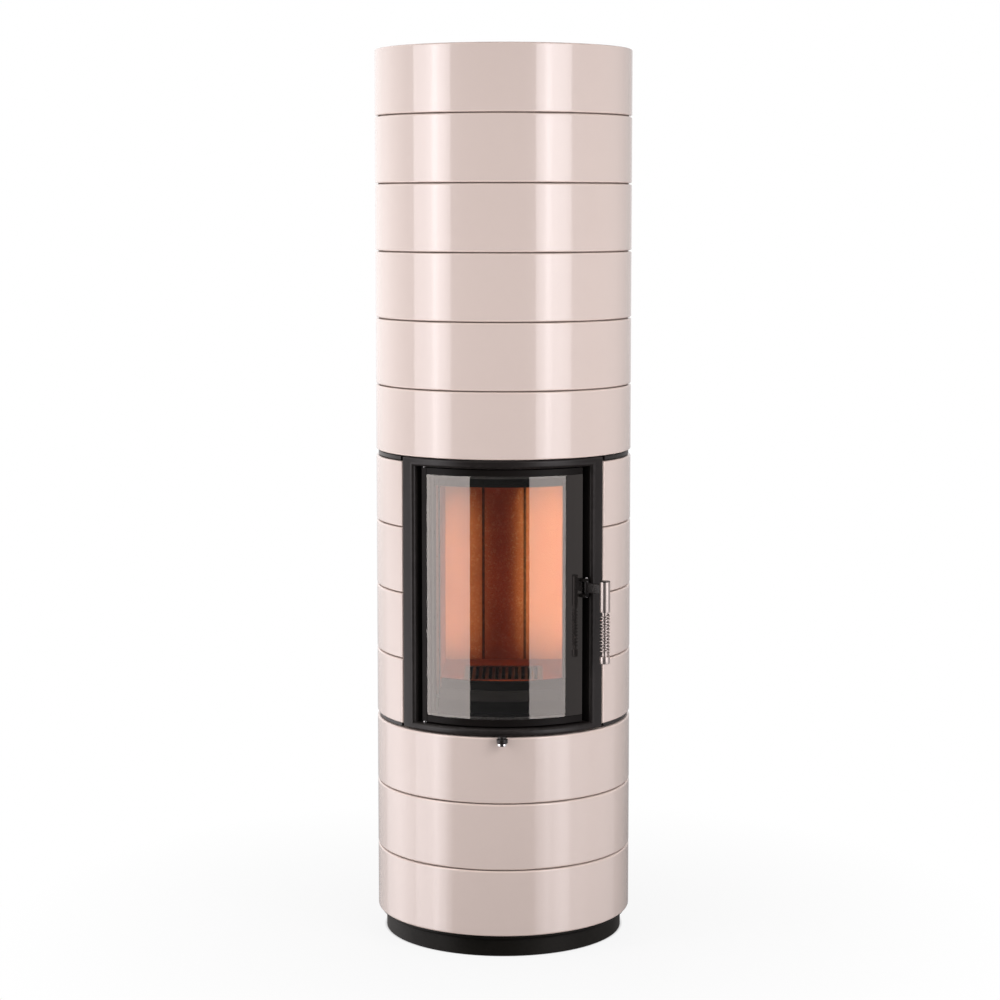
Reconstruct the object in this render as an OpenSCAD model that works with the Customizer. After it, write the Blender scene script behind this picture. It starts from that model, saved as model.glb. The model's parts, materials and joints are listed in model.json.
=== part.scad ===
// Round storage stove: cast firebox with a curved glass door, clad in glazed ceramic rings.
// The origin is on the floor on the stove's own axis. The door faces -Y, and +Z is up.
// Angles named "half angle" or "bearing" run from the middle of the front, positive towards +X.

/* [Ceramic cladding] */
// Outer radius of the ceramic rings
ring_r = 290; // [280:1:310]
// Wall of the ceramic
ring_wall = 28; // [26:1:32]
// Height of one ring with its joint
ring_pitch = 150; // [140:1:165]
// Height of one row of side tiles with its joint
side_pitch = 148; // [140:1:160]
// Joint between two rings
joint_gap = 2.5; // [1.5:0.5:4]
// Rounding of the ceramic's outer edges
edge_round = 3.5; // [1:0.5:6]
// Gap between a side tile and the surround frame, in degrees
tile_gap_deg = 0.5; // [0.3:0.1:1]
// Ledge inside the top ring that carries the cover
ledge_w = 10; // [6:1:14]

/* [Plinth and plates] */
// Height of the black plinth band
plinth_h = 40; // [35:1:60]
// How far the plinth band stands back from the ceramic
plinth_back = 19; // [15:1:30]
// Wall of the plinth band
plinth_wall = 12; // [4:1:14]
// Base plate that carries the lowest ring
base_plate_t = 10; // [6:1:16]
// How far the base plate's edge stands back from the ceramic
base_plate_back = 6; // [3:1:14]
// Radius of an air hole in the base plate
base_hole_r = 28; // [15:1:32]
// Plates under and over the firebox
plate_t = 8; // [6:1:12]
// How far the edges of the plates stand back from the ceramic
plate_back = 5; // [3:1:10]
// Side of a square support pillar
pillar_w = 30; // [20:1:40]
// Wall of a support pillar
pillar_wall = 3; // [2:0.5:5]
// Radius of a levelling foot's pad
foot_r = 20; // [14:1:24]
// Room between a levelling foot's pad and the plinth band's wall
foot_room = 24; // [10:1:40]
// Radius of a levelling foot's stem
foot_stem_r = 6; // [4:0.5:8]

/* [Surround frame] */
// Half angle covered by the surround frame
frame_half = 50; // [48:0.5:52]
// Half angle of the opening in the surround frame
frame_open_half = 43.2; // [42.8:0.1:43.6]
// Height of the frame's bottom rail
frame_bottom_rail = 14.5; // [12:0.5:20]
// Height of the frame's top rail
frame_top_rail = 19; // [14:0.5:26]
// Rounding of the frame's bead
bead_round = 7; // [3:0.5:7]
// Gap over the lever and under the surround frame
lever_clear = 1; // [0.8:0.1:2]

/* [Door] */
// Half angle of the door leaf
door_half = 40.3; // [40:0.1:40.6]
// How far the glass face stands back from the ceramic face
door_setback = 13.5; // [12.5:0.5:15]
// Depth of the door leaf from its glass face to its back
door_depth = 18.5; // [18:0.5:20]
// Gap under the door leaf
door_gap_low = 3; // [2:0.5:5]
// Gap over the door leaf
door_gap_high = 2; // [1.5:0.5:4]
// Height of the door's bottom rail
door_bottom_rail = 14.5; // [14:0.5:20]
// Height of the door's top rail
door_top_rail = 14; // [14:0.5:20]
// Bearing of the clear window's left edge
window_left = -36.4; // [-36.8:0.1:-34]
// Bearing of the clear window's right edge
window_right = 30.6; // [26:0.1:34]
// Seat behind the glass, above and below the window
glass_seat = 6; // [4:0.5:9]
// Thickness of the ceramic glass
glass_t = 4; // [3:0.5:5]
// Thickness of the fibre tape behind the glass
tape_t = 1.5; // [1:0.25:2]
// Thickness of the strips that hold the glass above and below
retainer_t = 3; // [2:0.5:4]
// Width of the rope seal round the door
seal_w = 8; // [6:0.5:8]
// Clearance of the rope seal from the flange
seal_clear = 0.3; // [0.2:0.1:0.6]
// Gap between the door's back and the flange
flange_clear = 2; // [1.5:0.25:3]
// Bearing of the hinge axis
hinge_bearing = -39.2; // [-39.3:0.1:-39]
// How far the hinge axis lies behind the glass face
hinge_back = 4.5; // [4.5:0.25:5.5]
// Radius of a hinge pin
hinge_pin_r = 3; // [2:0.25:3]
// Running clearance of pins in their bores
run_clear = 0.05; // [0.02:0.01:0.1]
// Length of a hinge pin in the frame and in the door, each
hinge_grip = 11; // [8:0.5:12]

/* [Latch and handle] */
// Bearing of the latch pivot
latch_bearing = 41.3; // [41.2:0.1:41.4]
// How far the latch pivot stands in front of the glass face
latch_front = 4.5; // [4:0.5:6]
// Radius of the latch hub
hub_r = 5.5; // [5:0.25:6]
// Radius of the latch pin
latch_pin_r = 3; // [2:0.25:3.5]
// Height of the middle of the latch arm above the floor
latch_z = 820; // [700:1:900]
// Height of the flat latch arm
arm_h = 22; // [16:1:28]
// Thickness of the flat latch arm
arm_t = 8; // [6:0.5:9]
// Thickness of the latch nose
nose_t = 5; // [4:0.5:5]
// Length of the latch nose from the pivot
nose_l = 18.5; // [15:0.5:19]
// Thickness of a lug that holds the latch pin
lug_t = 7; // [5:0.5:10]
// Distance of the grip from the stove's axis
grip_at = 335; // [330:1:350]
// Bearing of the grip
grip_bearing = 42.3; // [41.9:0.1:43]
// Radius of the smooth grip
grip_r = 11.5; // [10:0.5:13]
// Length of the smooth upper grip
grip_top_l = 67; // [50:1:90]
// Length of the wound grip
coil_l = 99; // [80:1:120]
// Length of the plain end piece
grip_end_l = 16; // [10:1:25]
// How far the grip reaches over the arm
grip_over_arm = 7; // [4:1:20]
// Thickness of the black cap on the grip
grip_cap_t = 2; // [1.5:0.5:4]
// Wire of the wound grip
wire_d = 4; // [3:0.25:4.5]
// Number of turns of the wound grip
coil_turns = 11; // [8:1:12]

/* [Air register] */
// Thickness of the register disc and the inner lever
register_t = 3; // [2:0.5:4]
// Radius of the register disc
register_r = 72; // [66:1:76]
// Radius of an air port
port_r = 14; // [8:1:16]
// Distance of the air ports from the axis
port_at = 45; // [40:1:50]
// Number of air ports
port_count = 6; // [4:1:8]
// Thickness of the lever where it passes under the frame
lever_t = 2.5; // [2:0.25:3]
// Width of the air lever
lever_w = 16; // [12:1:20]
// Radius of the air knob
knob_r = 12.5; // [10:0.5:14]
// Height of the air knob
knob_h = 22; // [18:1:30]
// Gap between the knob and the ceramic
knob_gap = 2.5; // [1.5:0.5:5]
// Radius of the register bolt
bolt_r = 5; // [4:0.5:6]
// Half angle through which the lever swings
lever_swing = 20; // [15:1:22]

/* [Air inlet] */
// Outer radius of the rear air spigot
air_spigot_r = 50; // [40:1:55]
// Wall of the sheet steel duct and spigots
sheet_t = 2; // [1.5:0.5:3]
// Height of the rear air spigot's axis above the floor
air_spigot_z = 275; // [270:1:285]
// Clearance of the spigot in the ceramic
air_hole_clear = 5; // [3:1:8]
// Outer width of the upright air duct
duct_w = 140; // [125:1:150]

/* [Firebox] */
// Wall of the round firebox shell
shell_t = 5; // [4:0.5:8]
// Thickness of the front flange that the door shuts against
flange_t = 6; // [5:0.5:8]
// Half angle of the opening in the front flange
mouth_half = 36; // [34:0.1:36]
// Bottom of the fire opening above the floor plate
mouth_low = 24; // [22:1:28]
// Depth of the lintel under the top plate
lintel_h = 53; // [45:1:70]
// Space between the side lining and the shell
lining_side_space = 81; // [78:1:95]
// Space between the lining's rear corners and the shell
lining_rear_space = 5; // [4:1:15]
// Thickness of the fireclay lining
lining_t = 25; // [20:1:25]
// Half width of the middle back brick
back_centre_half = 49; // [40:1:60]
// Chamfer on the long edges of the lining
lining_chamfer = 2; // [1:0.5:4]
// Height of the hearth carrier above the floor plate
carrier_h = 65; // [60:1:80]
// Thickness of the carrier's plates
carrier_t = 4; // [3:0.5:5]
// Thickness of the hearth bricks
hearth_t = 20; // [18:1:30]
// Height of the log guard over the hearth
guard_h = 22; // [15:1:35]
// Side of the square grate
grate_w = 180; // [150:2:190]
// Rim of the grate that stands on the carrier
grate_rim = 8; // [6:1:12]
// Width of a slot in the grate
grate_slot = 8; // [6:1:10]
// Distance of the grate's middle in front of the axis
grate_front = 20; // [10:1:30]
// Wall of the ash pan
pan_wall = 1.5; // [1:0.25:3]
// Gap on each side of the ash pan
pan_gap = 6; // [3:1:12]
// Thickness of the baffle plate
baffle_t = 25; // [20:1:25]
// Gap between the baffle plate and the top plate
baffle_gap = 25; // [25:1:40]

/* [Storage and flue] */
// Number of layers of storage bricks is fixed at five, each of this height
storage_pitch = 150; // [140:1:165]
// Air gap round the storage bricks
storage_gap = 18; // [12:1:25]
// Joint between neighbouring storage bricks
brick_joint = 1; // [0.5:0.5:3]
// Outer radius of the flue spigot
flue_r = 74.5; // [60:0.5:75]
// How far the flue spigot's end lies under the top edge
flue_drop = 4; // [2:1:20]
// Depth of the top cover under the top edge
cover_drop = 24; // [15:1:40]
// Thickness of the top cover
cover_t = 6; // [4:1:10]
// Number of vents in the top cover
vent_count = 24; // [16:4:32]
// Width of a vent in the top cover
vent_w = 8; // [6:1:12]

/* [Hidden] */
$fn = 96;

lower_rings = 3;
side_rows = 4;
upper_rings = 6;
storage_layers = 5;
foot_bearings = [45, 135, 225, 315];

// Radii, from the ceramic inwards
ring_in = ring_r - ring_wall;
plate_r = ring_r - plate_back;
plinth_r = ring_r - plinth_back;
pillar_at = plinth_r - plinth_wall - foot_room - foot_r;
glass_face = ring_r - door_setback;
door_back = glass_face - door_depth;
flange_face = door_back - flange_clear;
flange_in = flange_face - flange_t;
shell_in = flange_in - shell_t;
lining_fit = 0.5;
carrier_r = shell_in - lining_fit;
storage_r = ring_in - storage_gap;

// Fire chamber between the bricks of the lining
lining_out = shell_in - lining_side_space;
chamber_half = lining_out - lining_t;
lining_rear_r = shell_in - lining_rear_space;
chamber_back = sqrt(lining_rear_r * lining_rear_r - lining_out * lining_out) - lining_t;
lining_front = -sqrt(carrier_r * carrier_r - lining_out * lining_out) + 6;

// Heights, from the floor upwards
z_base = plinth_h + base_plate_t;
z_floor = z_base + lower_rings * ring_pitch;
z_floor_top = z_floor + plate_t;
z_sides_top = z_floor_top + side_rows * side_pitch;
z_top_plate = z_sides_top + plate_t;
z_upper = z_top_plate + joint_gap;
z_end = z_upper + upper_rings * ring_pitch - joint_gap;
z_storage_end = z_top_plate + storage_layers * storage_pitch;
z_lever = z_floor - joint_gap + lever_clear;
z_frame = z_lever + lever_t + lever_clear;
z_frame_end = z_upper - door_gap_high;
z_open = z_frame + frame_bottom_rail;
z_open_end = z_frame_end - frame_top_rail;
z_door = z_open + door_gap_low;
z_door_end = z_open_end - door_gap_high;
z_glass = z_door + door_bottom_rail;
z_glass_end = z_door_end - door_top_rail;
z_mouth = z_floor_top + mouth_low;
z_mouth_end = z_sides_top - lintel_h;
z_carrier = z_floor_top + carrier_h;
z_hearth = z_carrier + hearth_t;
z_baffle = z_sides_top - baffle_gap - baffle_t;
z_cover = z_end - cover_drop - cover_t;

// Front cut of the plates, a little wider than the surround frame
cut_half = frame_half + 2.5;
// Half angle at which the shell and the flange overlap
shell_half = frame_half - 2;
flange_half = frame_half + 2;

// Place of the hinge axis, the latch pivot, the grip and the air knob
hinge_at = glass_face - hinge_back;
latch_at = glass_face + latch_front;
hinge_xy = polar(hinge_at, hinge_bearing);
latch_xy = polar(latch_at, latch_bearing);
grip_xy = polar(grip_at, grip_bearing);
knob_at = ring_r + knob_gap + knob_r;
// The rear spigot stands out behind as far as the knob does in front
spigot_end = knob_at + knob_r;

// Small fits
slide = 0.3;
touch = 0.01;
glass_fit = 1;
pane_left = window_left - 0.9;
pane_right = door_half - 0.5;
pocket_left = pane_left - 0.3;

function polar(r, bearing) = [r * sin(bearing), -r * cos(bearing)];
function bearing_of(length, r) = asin(length / r);
function heading(a, b) = atan2(b[1] - a[1], b[0] - a[0]);
function span(a, b) = norm([b[0] - a[0], b[1] - a[1]]);

// Part of a ring between two radii, two heights and two bearings
module sector(r0, r1, z0, z1, b0, b1) {
  translate([0, 0, z0])
    rotate_extrude(angle = b1 - b0, start = b0 - 90)
      translate([r0, 0]) square([r1 - r0, z1 - z0]);
}

// Section of a ring with its two outer edges rounded
module ring_section(r0, r1, h, c) {
  translate([r0, 0]) square([r1 - r0 - c, h]);
  translate([r0, c]) square([r1 - r0, h - 2 * c]);
  translate([r1 - c, c]) circle(c);
  translate([r1 - c, h - c]) circle(c);
}

// Part of a ring whose outer edges are rounded all the way round
module rounded_sector(r0, r1, z0, z1, b0, b1, c) {
  inset = bearing_of(c, r1 - c);
  intersection() {
    translate([0, 0, z0]) rotate_extrude() ring_section(r0, r1, z1 - z0, c);
    union() {
      sector(r0 - 1, r1 - c, z0 - 1, z1 + 1, b0, b1);
      sector(r0 - 1, r1 + 1, z0 - 1, z1 + 1, b0 + inset, b1 - inset);
      for (b = [b0 + inset, b1 - inset])
        translate(concat(polar(r1 - c, b), z0 - 1)) cylinder(r = c, h = z1 - z0 + 2);
    }
  }
}

// Upright pin or bore
module upright(xy, r, z0, z1) {
  translate([xy[0], xy[1], z0]) cylinder(r = r, h = z1 - z0);
}

// Flat bar along a line in plan
module bar(from, to, width, z0, z1) {
  translate([from[0], from[1], z0])
    rotate(heading(from, to))
      translate([0, -width / 2, 0]) cube([span(from, to), width, z1 - z0]);
}

// Plate whose front is cut back behind the surround frame
module carrying_plate(z0) {
  difference() {
    translate([0, 0, z0]) cylinder(r = plate_r, h = plate_t);
    sector(flange_in, ring_r, z0 - 1, z0 + plate_t + 1, -cut_half, cut_half);
  }
}

module plinth_ring() {
  vent_z = plinth_h / 3;
  vent_half = 3;
  color("#1b1a1a")
    difference() {
      cylinder(r = plinth_r, h = plinth_h);
      translate([0, 0, -1]) cylinder(r = plinth_r - plinth_wall, h = plinth_h + 2);
      for (b = [150 : 10 : 210])
        sector(plinth_r - plinth_wall - 1, plinth_r + 1, vent_z, 2 * vent_z,
               b - vent_half, b + vent_half);
    }
}

module levelling_feet() {
  pad_h = 10;
  color("#3a3a3a")
    for (b = foot_bearings) {
      xy = polar(pillar_at, b);
      union() {
        upright(xy, foot_r, 0, pad_h);
        upright(xy, foot_stem_r, pad_h - 1, plinth_h);
      }
    }
}

module base_plate() {
  edge = ring_r - base_plate_back;
  bevel = base_plate_t / 2;
  color("#1e1d1d")
    difference() {
      translate([0, 0, plinth_h])
        rotate_extrude()
          polygon([[0, 0], [edge - bevel, 0], [edge, bevel],
                   [edge, base_plate_t], [0, base_plate_t]]);
      for (b = [0 : 45 : 315])
        upright(polar(pillar_at * 0.6, b + 22.5), base_hole_r, plinth_h - 1, z_base + 1);
    }
}

module support_pillars() {
  color("#4a4a4a")
    for (b = foot_bearings) {
      xy = polar(pillar_at, b);
      translate([xy[0], xy[1], z_base])
        rotate(b)
          difference() {
            translate([-pillar_w / 2, -pillar_w / 2, 0])
              cube([pillar_w, pillar_w, z_floor - z_base]);
            translate([-pillar_w / 2 + pillar_wall, -pillar_w / 2 + pillar_wall, -1])
              cube([pillar_w - 2 * pillar_wall, pillar_w - 2 * pillar_wall,
                    z_floor - z_base + 2]);
          }
    }
}

module ceramic_ring(z0) {
  translate([0, 0, z0])
    rotate_extrude() ring_section(ring_in, ring_r, ring_pitch - joint_gap, edge_round);
}

// The second ring from the floor has the hole for the rear air spigot
module lower_ring(i) {
  color("#d6c6be")
    difference() {
      ceramic_ring(z_base + i * ring_pitch);
      if (i == 1)
        translate([0, 0, air_spigot_z])
          rotate([-90, 0, 0]) cylinder(r = air_spigot_r + air_hole_clear, h = ring_r + 10);
    }
}

// The last ring has the inner ledge that carries the cover
module upper_ring(i) {
  z0 = z_upper + i * ring_pitch;
  color("#d6c6be")
    union() {
      ceramic_ring(z0);
      if (i == upper_rings - 1)
        translate([0, 0, z_cover - 2 * ledge_w])
          rotate_extrude()
            polygon([[ring_in + touch, 0], [ring_in - ledge_w, ledge_w],
                     [ring_in - ledge_w, 2 * ledge_w], [ring_in + touch, 2 * ledge_w]]);
    }
}

module side_tiles(i) {
  z0 = z_floor_top + i * side_pitch;
  start = frame_half + tile_gap_deg;
  back_gap = bearing_of(joint_gap / 2, ring_r);
  color("#d6c6be") {
    rounded_sector(ring_in, ring_r, z0, z0 + side_pitch - joint_gap,
                   start, 180 - back_gap, edge_round);
    rounded_sector(ring_in, ring_r, z0, z0 + side_pitch - joint_gap,
                   180 + back_gap, 360 - start, edge_round);
  }
}

module seam_strip(z0, b0, b1) {
  set_in = 7;
  inner = 4;
  sector(ring_in + inner, ring_r - set_in, z0 - joint_gap, z0, b0, b1);
}

module ring_seam_strips() {
  color("#6b6560") {
    for (i = [1 : lower_rings - 1]) seam_strip(z_base + i * ring_pitch, 0, 360);
    seam_strip(z_floor, cut_half, 360 - cut_half);
    for (i = [1 : side_rows])
      seam_strip(z_floor_top + i * side_pitch, cut_half, 360 - cut_half);
    seam_strip(z_upper, cut_half, 360 - cut_half);
    for (i = [1 : upper_rings - 1]) seam_strip(z_upper + i * ring_pitch, 0, 360);
  }
}

module floor_plate() {
  color("#2c2b2b")
    difference() {
      carrying_plate(z_floor);
      upright([0, 0], bolt_r, z_floor - 1, z_floor_top + 1);
      for (k = [0 : port_count - 1])
        upright(polar(port_at, k * 360 / port_count), port_r, z_floor - 1, z_floor_top + 1);
    }
}

module top_plate() {
  color("#2c2b2b")
    difference() {
      carrying_plate(z_sides_top);
      upright([0, 0], flue_r - sheet_t, z_sides_top - 1, z_top_plate + 1);
    }
}

module air_duct() {
  collar_r = register_r + 14;
  flange_z = z_floor - 10;
  low = air_spigot_z - air_spigot_r - 10;
  slot_half = lever_swing + 12;
  inner = duct_w - 2 * sheet_t;
  color("#5b5b5b")
    difference() {
      union() {
        translate([-duct_w / 2, -duct_w / 2, low])
          cube([duct_w, duct_w, flange_z - low]);
        upright([0, 0], collar_r + 4, flange_z - sheet_t, flange_z);
        sector(collar_r, collar_r + 4, flange_z - touch, z_floor, slot_half, 360 - slot_half);
      }
      translate([-inner / 2, -inner / 2, low + sheet_t])
        cube([inner, inner, flange_z]);
      translate([0, 0, air_spigot_z])
        rotate([-90, 0, 0]) cylinder(r = air_spigot_r - sheet_t, h = duct_w);
    }
}

module air_spigot() {
  color("#5b5b5b")
    translate([0, duct_w / 2, air_spigot_z])
      rotate([-90, 0, 0])
        difference() {
          cylinder(r = air_spigot_r, h = spigot_end - duct_w / 2);
          translate([0, 0, -1])
            cylinder(r = air_spigot_r - sheet_t, h = spigot_end - duct_w / 2 + 2);
        }
}

z_register = z_floor - 0.5 - register_t;

module register_disc() {
  color("#777777")
    difference() {
      upright([0, 0], register_r, z_register, z_register + register_t);
      upright([0, 0], bolt_r + run_clear, z_register - 1, z_floor);
      for (k = [0 : port_count - 1])
        upright(polar(port_at, k * 360 / port_count), port_r, z_register - 1, z_floor);
    }
}

module register_bolt() {
  head_r = bolt_r + 4;
  head_h = 5;
  seat = z_register - register_t - slide;
  color("#8a8a8a")
    union() {
      upright([0, 0], bolt_r, seat - 1, z_floor_top);
      translate([0, 0, seat - head_h]) cylinder(r = head_r, h = head_h, $fn = 6);
    }
}

// The lever runs under the floor plate, steps up behind the ceramic and passes under the frame
module air_lever() {
  low = z_register - register_t;
  step_in = flange_in + 2;
  step_out = step_in + 6;
  end_r = lever_w / 2 - 1;
  color("#232222")
    difference() {
      union() {
        upright([0, 0], lever_w, low, z_register);
        bar([0, 0], [0, -step_out], lever_w, low, z_register);
        bar([0, -step_in], [0, -step_out], lever_w, low, z_lever + lever_t);
        bar([0, -step_in], [0, -knob_at], lever_w - 2, z_lever, z_lever + lever_t);
        upright([0, -knob_at], end_r, z_lever, z_lever + lever_t);
      }
      upright([0, 0], bolt_r + run_clear, low - 1, z_register + 1);
      upright([0, -knob_at], knob_r / 4, z_lever - 1, z_lever + lever_t + 1);
    }
}

// Black collar, bright tip and the small cap over the lever, turned from one bar
module air_knob() {
  cap_t = 4;
  tip = knob_r - 1.5;
  low = z_lever + lever_t + cap_t - knob_h;
  body = z_lever - low;
  color("#9a9a9a")
    translate([0, -knob_at, low])
      rotate_extrude()
        polygon([[0, 0], [tip - 1.5, 0], [tip, 1.5], [tip, 0.45 * body], [knob_r, 0.5 * body],
                 [knob_r, body - 1], [knob_r - 1, body], [knob_r / 4, body],
                 [knob_r / 4, body + lever_t], [knob_r - 3, body + lever_t],
                 [knob_r - 3, knob_h - 1], [knob_r - 4, knob_h], [0, knob_h]]);
}

module firebox_shell() {
  color("#3b3938")
    sector(shell_in, flange_in, z_floor_top, z_sides_top, shell_half, 360 - shell_half);
}

module front_flange() {
  seat_half = frame_open_half;
  color("#262525")
    difference() {
      union() {
        sector(flange_in, flange_face, z_frame, z_sides_top, -flange_half, flange_half);
        sector(flange_in, ring_in, z_frame, z_sides_top, -frame_half, frame_half);
      }
      sector(flange_face, ring_in + 1, z_open, z_open_end, -seat_half, seat_half);
      sector(flange_in - 1, flange_face + 1, z_mouth, z_mouth_end, -mouth_half, mouth_half);
      at_frame_bolts() cylinder(r = frame_bolt_r, h = frame_bolt_l);
    }
}

frame_bolt_r = 3;
frame_bolt_l = flange_t + ring_wall / 2 + 4;
frame_bolt_bearing = frame_half - 3.7;

// Places of the radial bolts that go from inside the flange into the surround frame
module at_frame_bolts() {
  for (z = [z_floor_top + 60, (z_frame + z_frame_end) / 2, z_mouth_end])
    for (b = [-frame_bolt_bearing, frame_bolt_bearing])
      translate(concat(polar(flange_in, b), z)) rotate([90, 0, b]) children();
}

module frame_bolts() {
  head_r = 5;
  head_h = 3.5;
  head_gap = 0.4;
  color("#8a8a8a")
    at_frame_bolts()
      union() {
        translate([0, 0, -head_gap - 1]) cylinder(r = frame_bolt_r, h = frame_bolt_l + head_gap + 1);
        translate([0, 0, -head_gap - head_h]) cylinder(r = head_r, h = head_h);
      }
}

// Cast frame round the door, with a rounded bead and rails in line with the ceramic
module surround_frame() {
  color("#242323")
    difference() {
      union() {
        rounded_sector(ring_in, ring_r, z_frame, z_open, -frame_half, frame_half, bead_round - 1);
        rounded_sector(ring_in, ring_r, z_open_end, z_frame_end, -frame_half, frame_half,
                       bead_round);
        rounded_sector(ring_in, ring_r, z_frame, z_frame_end, -frame_half, -frame_open_half,
                       bead_round);
        rounded_sector(ring_in, ring_r, z_frame, z_frame_end, frame_open_half, frame_half,
                       bead_round);
      }
      upright(hinge_xy, hinge_pin_r, z_open - hinge_grip, z_open + 1);
      upright(hinge_xy, hinge_pin_r, z_open_end - 1, z_open_end + hinge_grip);
      at_frame_bolts() cylinder(r = frame_bolt_r, h = frame_bolt_l);
    }
}

// Lining brick with chamfered long edges
module lining_brick(x0, x1, y0, y1) {
  c = lining_chamfer;
  color("#b5623a")
    translate([0, 0, z_carrier])
      linear_extrude(z_baffle - z_carrier)
        polygon([[x0 + c, y0], [x1 - c, y0], [x1, y0 + c], [x1, y1], [x0, y1], [x0, y0 + c]]);
}

module lining_back_centre() {
  lining_brick(-back_centre_half, back_centre_half, chamber_back, chamber_back + lining_t);
}

module lining_back_left() {
  lining_brick(-lining_out, -back_centre_half, chamber_back, chamber_back + lining_t);
}

module lining_back_right() {
  lining_brick(back_centre_half, lining_out, chamber_back, chamber_back + lining_t);
}

module lining_side_left() {
  lining_brick(-lining_out, -chamber_half, lining_front, chamber_back);
}

module lining_side_right() {
  lining_brick(chamber_half, lining_out, lining_front, chamber_back);
}

lip_t = 4;
lip_half = bearing_of(chamber_half + 1, carrier_r);
grate_y0 = -grate_front - grate_w / 2;

// Four bricks round the grate, cut to the round front
module hearth_bricks() {
  half = chamber_half - lining_fit;
  grate_half = grate_w / 2 + lining_fit;
  y_grate0 = grate_y0 - lining_fit;
  y_grate1 = grate_y0 + grate_w + lining_fit;
  y1 = chamber_back - lining_fit;
  front = carrier_r - lip_t - lining_fit;
  color("#b0603c")
    intersection() {
      upright([0, 0], front, z_carrier, z_hearth);
      union() {
        translate([-half, -front, z_carrier - 1])
          cube([half - grate_half, front + y1, hearth_t + 2]);
        translate([grate_half, -front, z_carrier - 1])
          cube([half - grate_half, front + y1, hearth_t + 2]);
        translate([-grate_half + slide, -front, z_carrier - 1])
          cube([2 * (grate_half - slide), front + y_grate0, hearth_t + 2]);
        translate([-grate_half + slide, y_grate1, z_carrier - 1])
          cube([2 * (grate_half - slide), y1 - y_grate1, hearth_t + 2]);
      }
    }
}

module grate() {
  bar_t = 10;
  step = grate_slot + 7;
  inner = grate_w - 2 * grate_rim;
  slots = floor((inner - grate_slot) / step);
  color("#302e2d")
    translate([0, grate_y0, z_carrier])
      difference() {
        translate([-grate_w / 2, 0, 0]) cube([grate_w, grate_w, hearth_t - 1]);
        translate([-inner / 2, grate_rim, -1]) cube([inner, inner, hearth_t - bar_t]);
        for (k = [0 : slots])
          translate([-slots * step / 2 + k * step - grate_slot / 2, 2 * grate_rim, -2])
            cube([grate_slot, inner - 2 * grate_rim, hearth_t + 4]);
      }
}

box_half = chamber_half + 8;
box_front = -sqrt(carrier_r * carrier_r - (box_half + carrier_t) * (box_half + carrier_t)) + 4;
box_back = chamber_back - 34;
z_shelf = z_mouth + slide;

// Welded carrier: side and back walls, the shelf for the ash pan and the plate for the hearth
module ash_box() {
  hole = grate_w - 2 * grate_rim - 4;
  shelf_slot_half = 60;
  color("#3b3938")
    difference() {
      union() {
        for (x = [-box_half - carrier_t, box_half])
          translate([x, box_front, z_floor_top])
            cube([carrier_t, box_back - box_front, carrier_h - 1]);
        translate([-box_half, box_back - carrier_t, z_floor_top])
          cube([2 * box_half, carrier_t, carrier_h - 1]);
        translate([-box_half - 1, box_front, z_shelf - carrier_t])
          cube([2 * box_half + 2, box_back - box_front, carrier_t]);
        upright([0, 0], carrier_r, z_carrier - carrier_t, z_carrier);
        sector(carrier_r - lip_t, carrier_r, z_carrier - 1, z_hearth, -lip_half, lip_half);
      }
      translate([-hole / 2, grate_y0 + (grate_w - hole) / 2, z_carrier - carrier_t - 1])
        cube([hole, hole, carrier_t + 2]);
      translate([-shelf_slot_half, -grate_front - shelf_slot_half / 2, z_shelf - carrier_t - 1])
        cube([2 * shelf_slot_half, shelf_slot_half, carrier_t + 2]);
    }
}

module ash_pan() {
  half = box_half - pan_gap;
  y0 = -sqrt(carrier_r * carrier_r - half * half) + 4;
  y1 = box_back - carrier_t - pan_gap;
  h = z_carrier - carrier_t - 1 - z_shelf;
  grip_w = 70;
  grip_t = 6;
  color("#2a2928")
    union() {
      difference() {
        translate([-half, y0, z_shelf]) cube([2 * half, y1 - y0, h]);
        translate([-half + pan_wall, y0 + pan_wall, z_shelf + pan_wall])
          cube([2 * (half - pan_wall), y1 - y0 - 2 * pan_wall, h]);
      }
      translate([-grip_w / 2, y0 - 2 * grip_t, z_shelf + h - grip_t])
        cube([grip_w, 2 * grip_t + 1, pan_wall + 1]);
    }
}

module log_guard() {
  color("#1f1e1e")
    sector(carrier_r - 2 * lip_t, carrier_r, z_hearth, z_hearth + guard_h,
           -lip_half + 1, lip_half - 1);
}

module baffle_plate() {
  front = lining_front + 65;
  color("#c9b894")
    translate([-lining_out + 1, front, z_baffle])
      cube([2 * lining_out - 2, chamber_back + lining_t - 1 - front, baffle_t]);
}

flue_half = flue_r + 0.5;

// One layer of four storage bricks that leave the square flue way open
module storage_layer(i) {
  f = flue_half;
  j = brick_joint / sqrt(2);
  m = storage_r * cos(22.5) * cos(45);
  v = [storage_r * cos(22.5), storage_r * sin(22.5)];
  color("#b9ab96")
    translate([0, 0, z_top_plate + i * storage_pitch])
      for (a = [0 : 90 : 270])
        rotate(a)
          linear_extrude(storage_pitch)
            polygon([[f, j - f], [m, j - m], [v[0], -v[1]], v, [m, m - j], [f, f - j]]);
}

module flue_spigot() {
  color("#3c3b3b")
    difference() {
      union() {
        upright([0, 0], flue_r + 45, z_storage_end, z_storage_end + 2 * sheet_t);
        upright([0, 0], flue_r, z_storage_end, z_end - flue_drop);
      }
      upright([0, 0], flue_r - sheet_t, z_storage_end - 1, z_end);
    }
}

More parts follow.
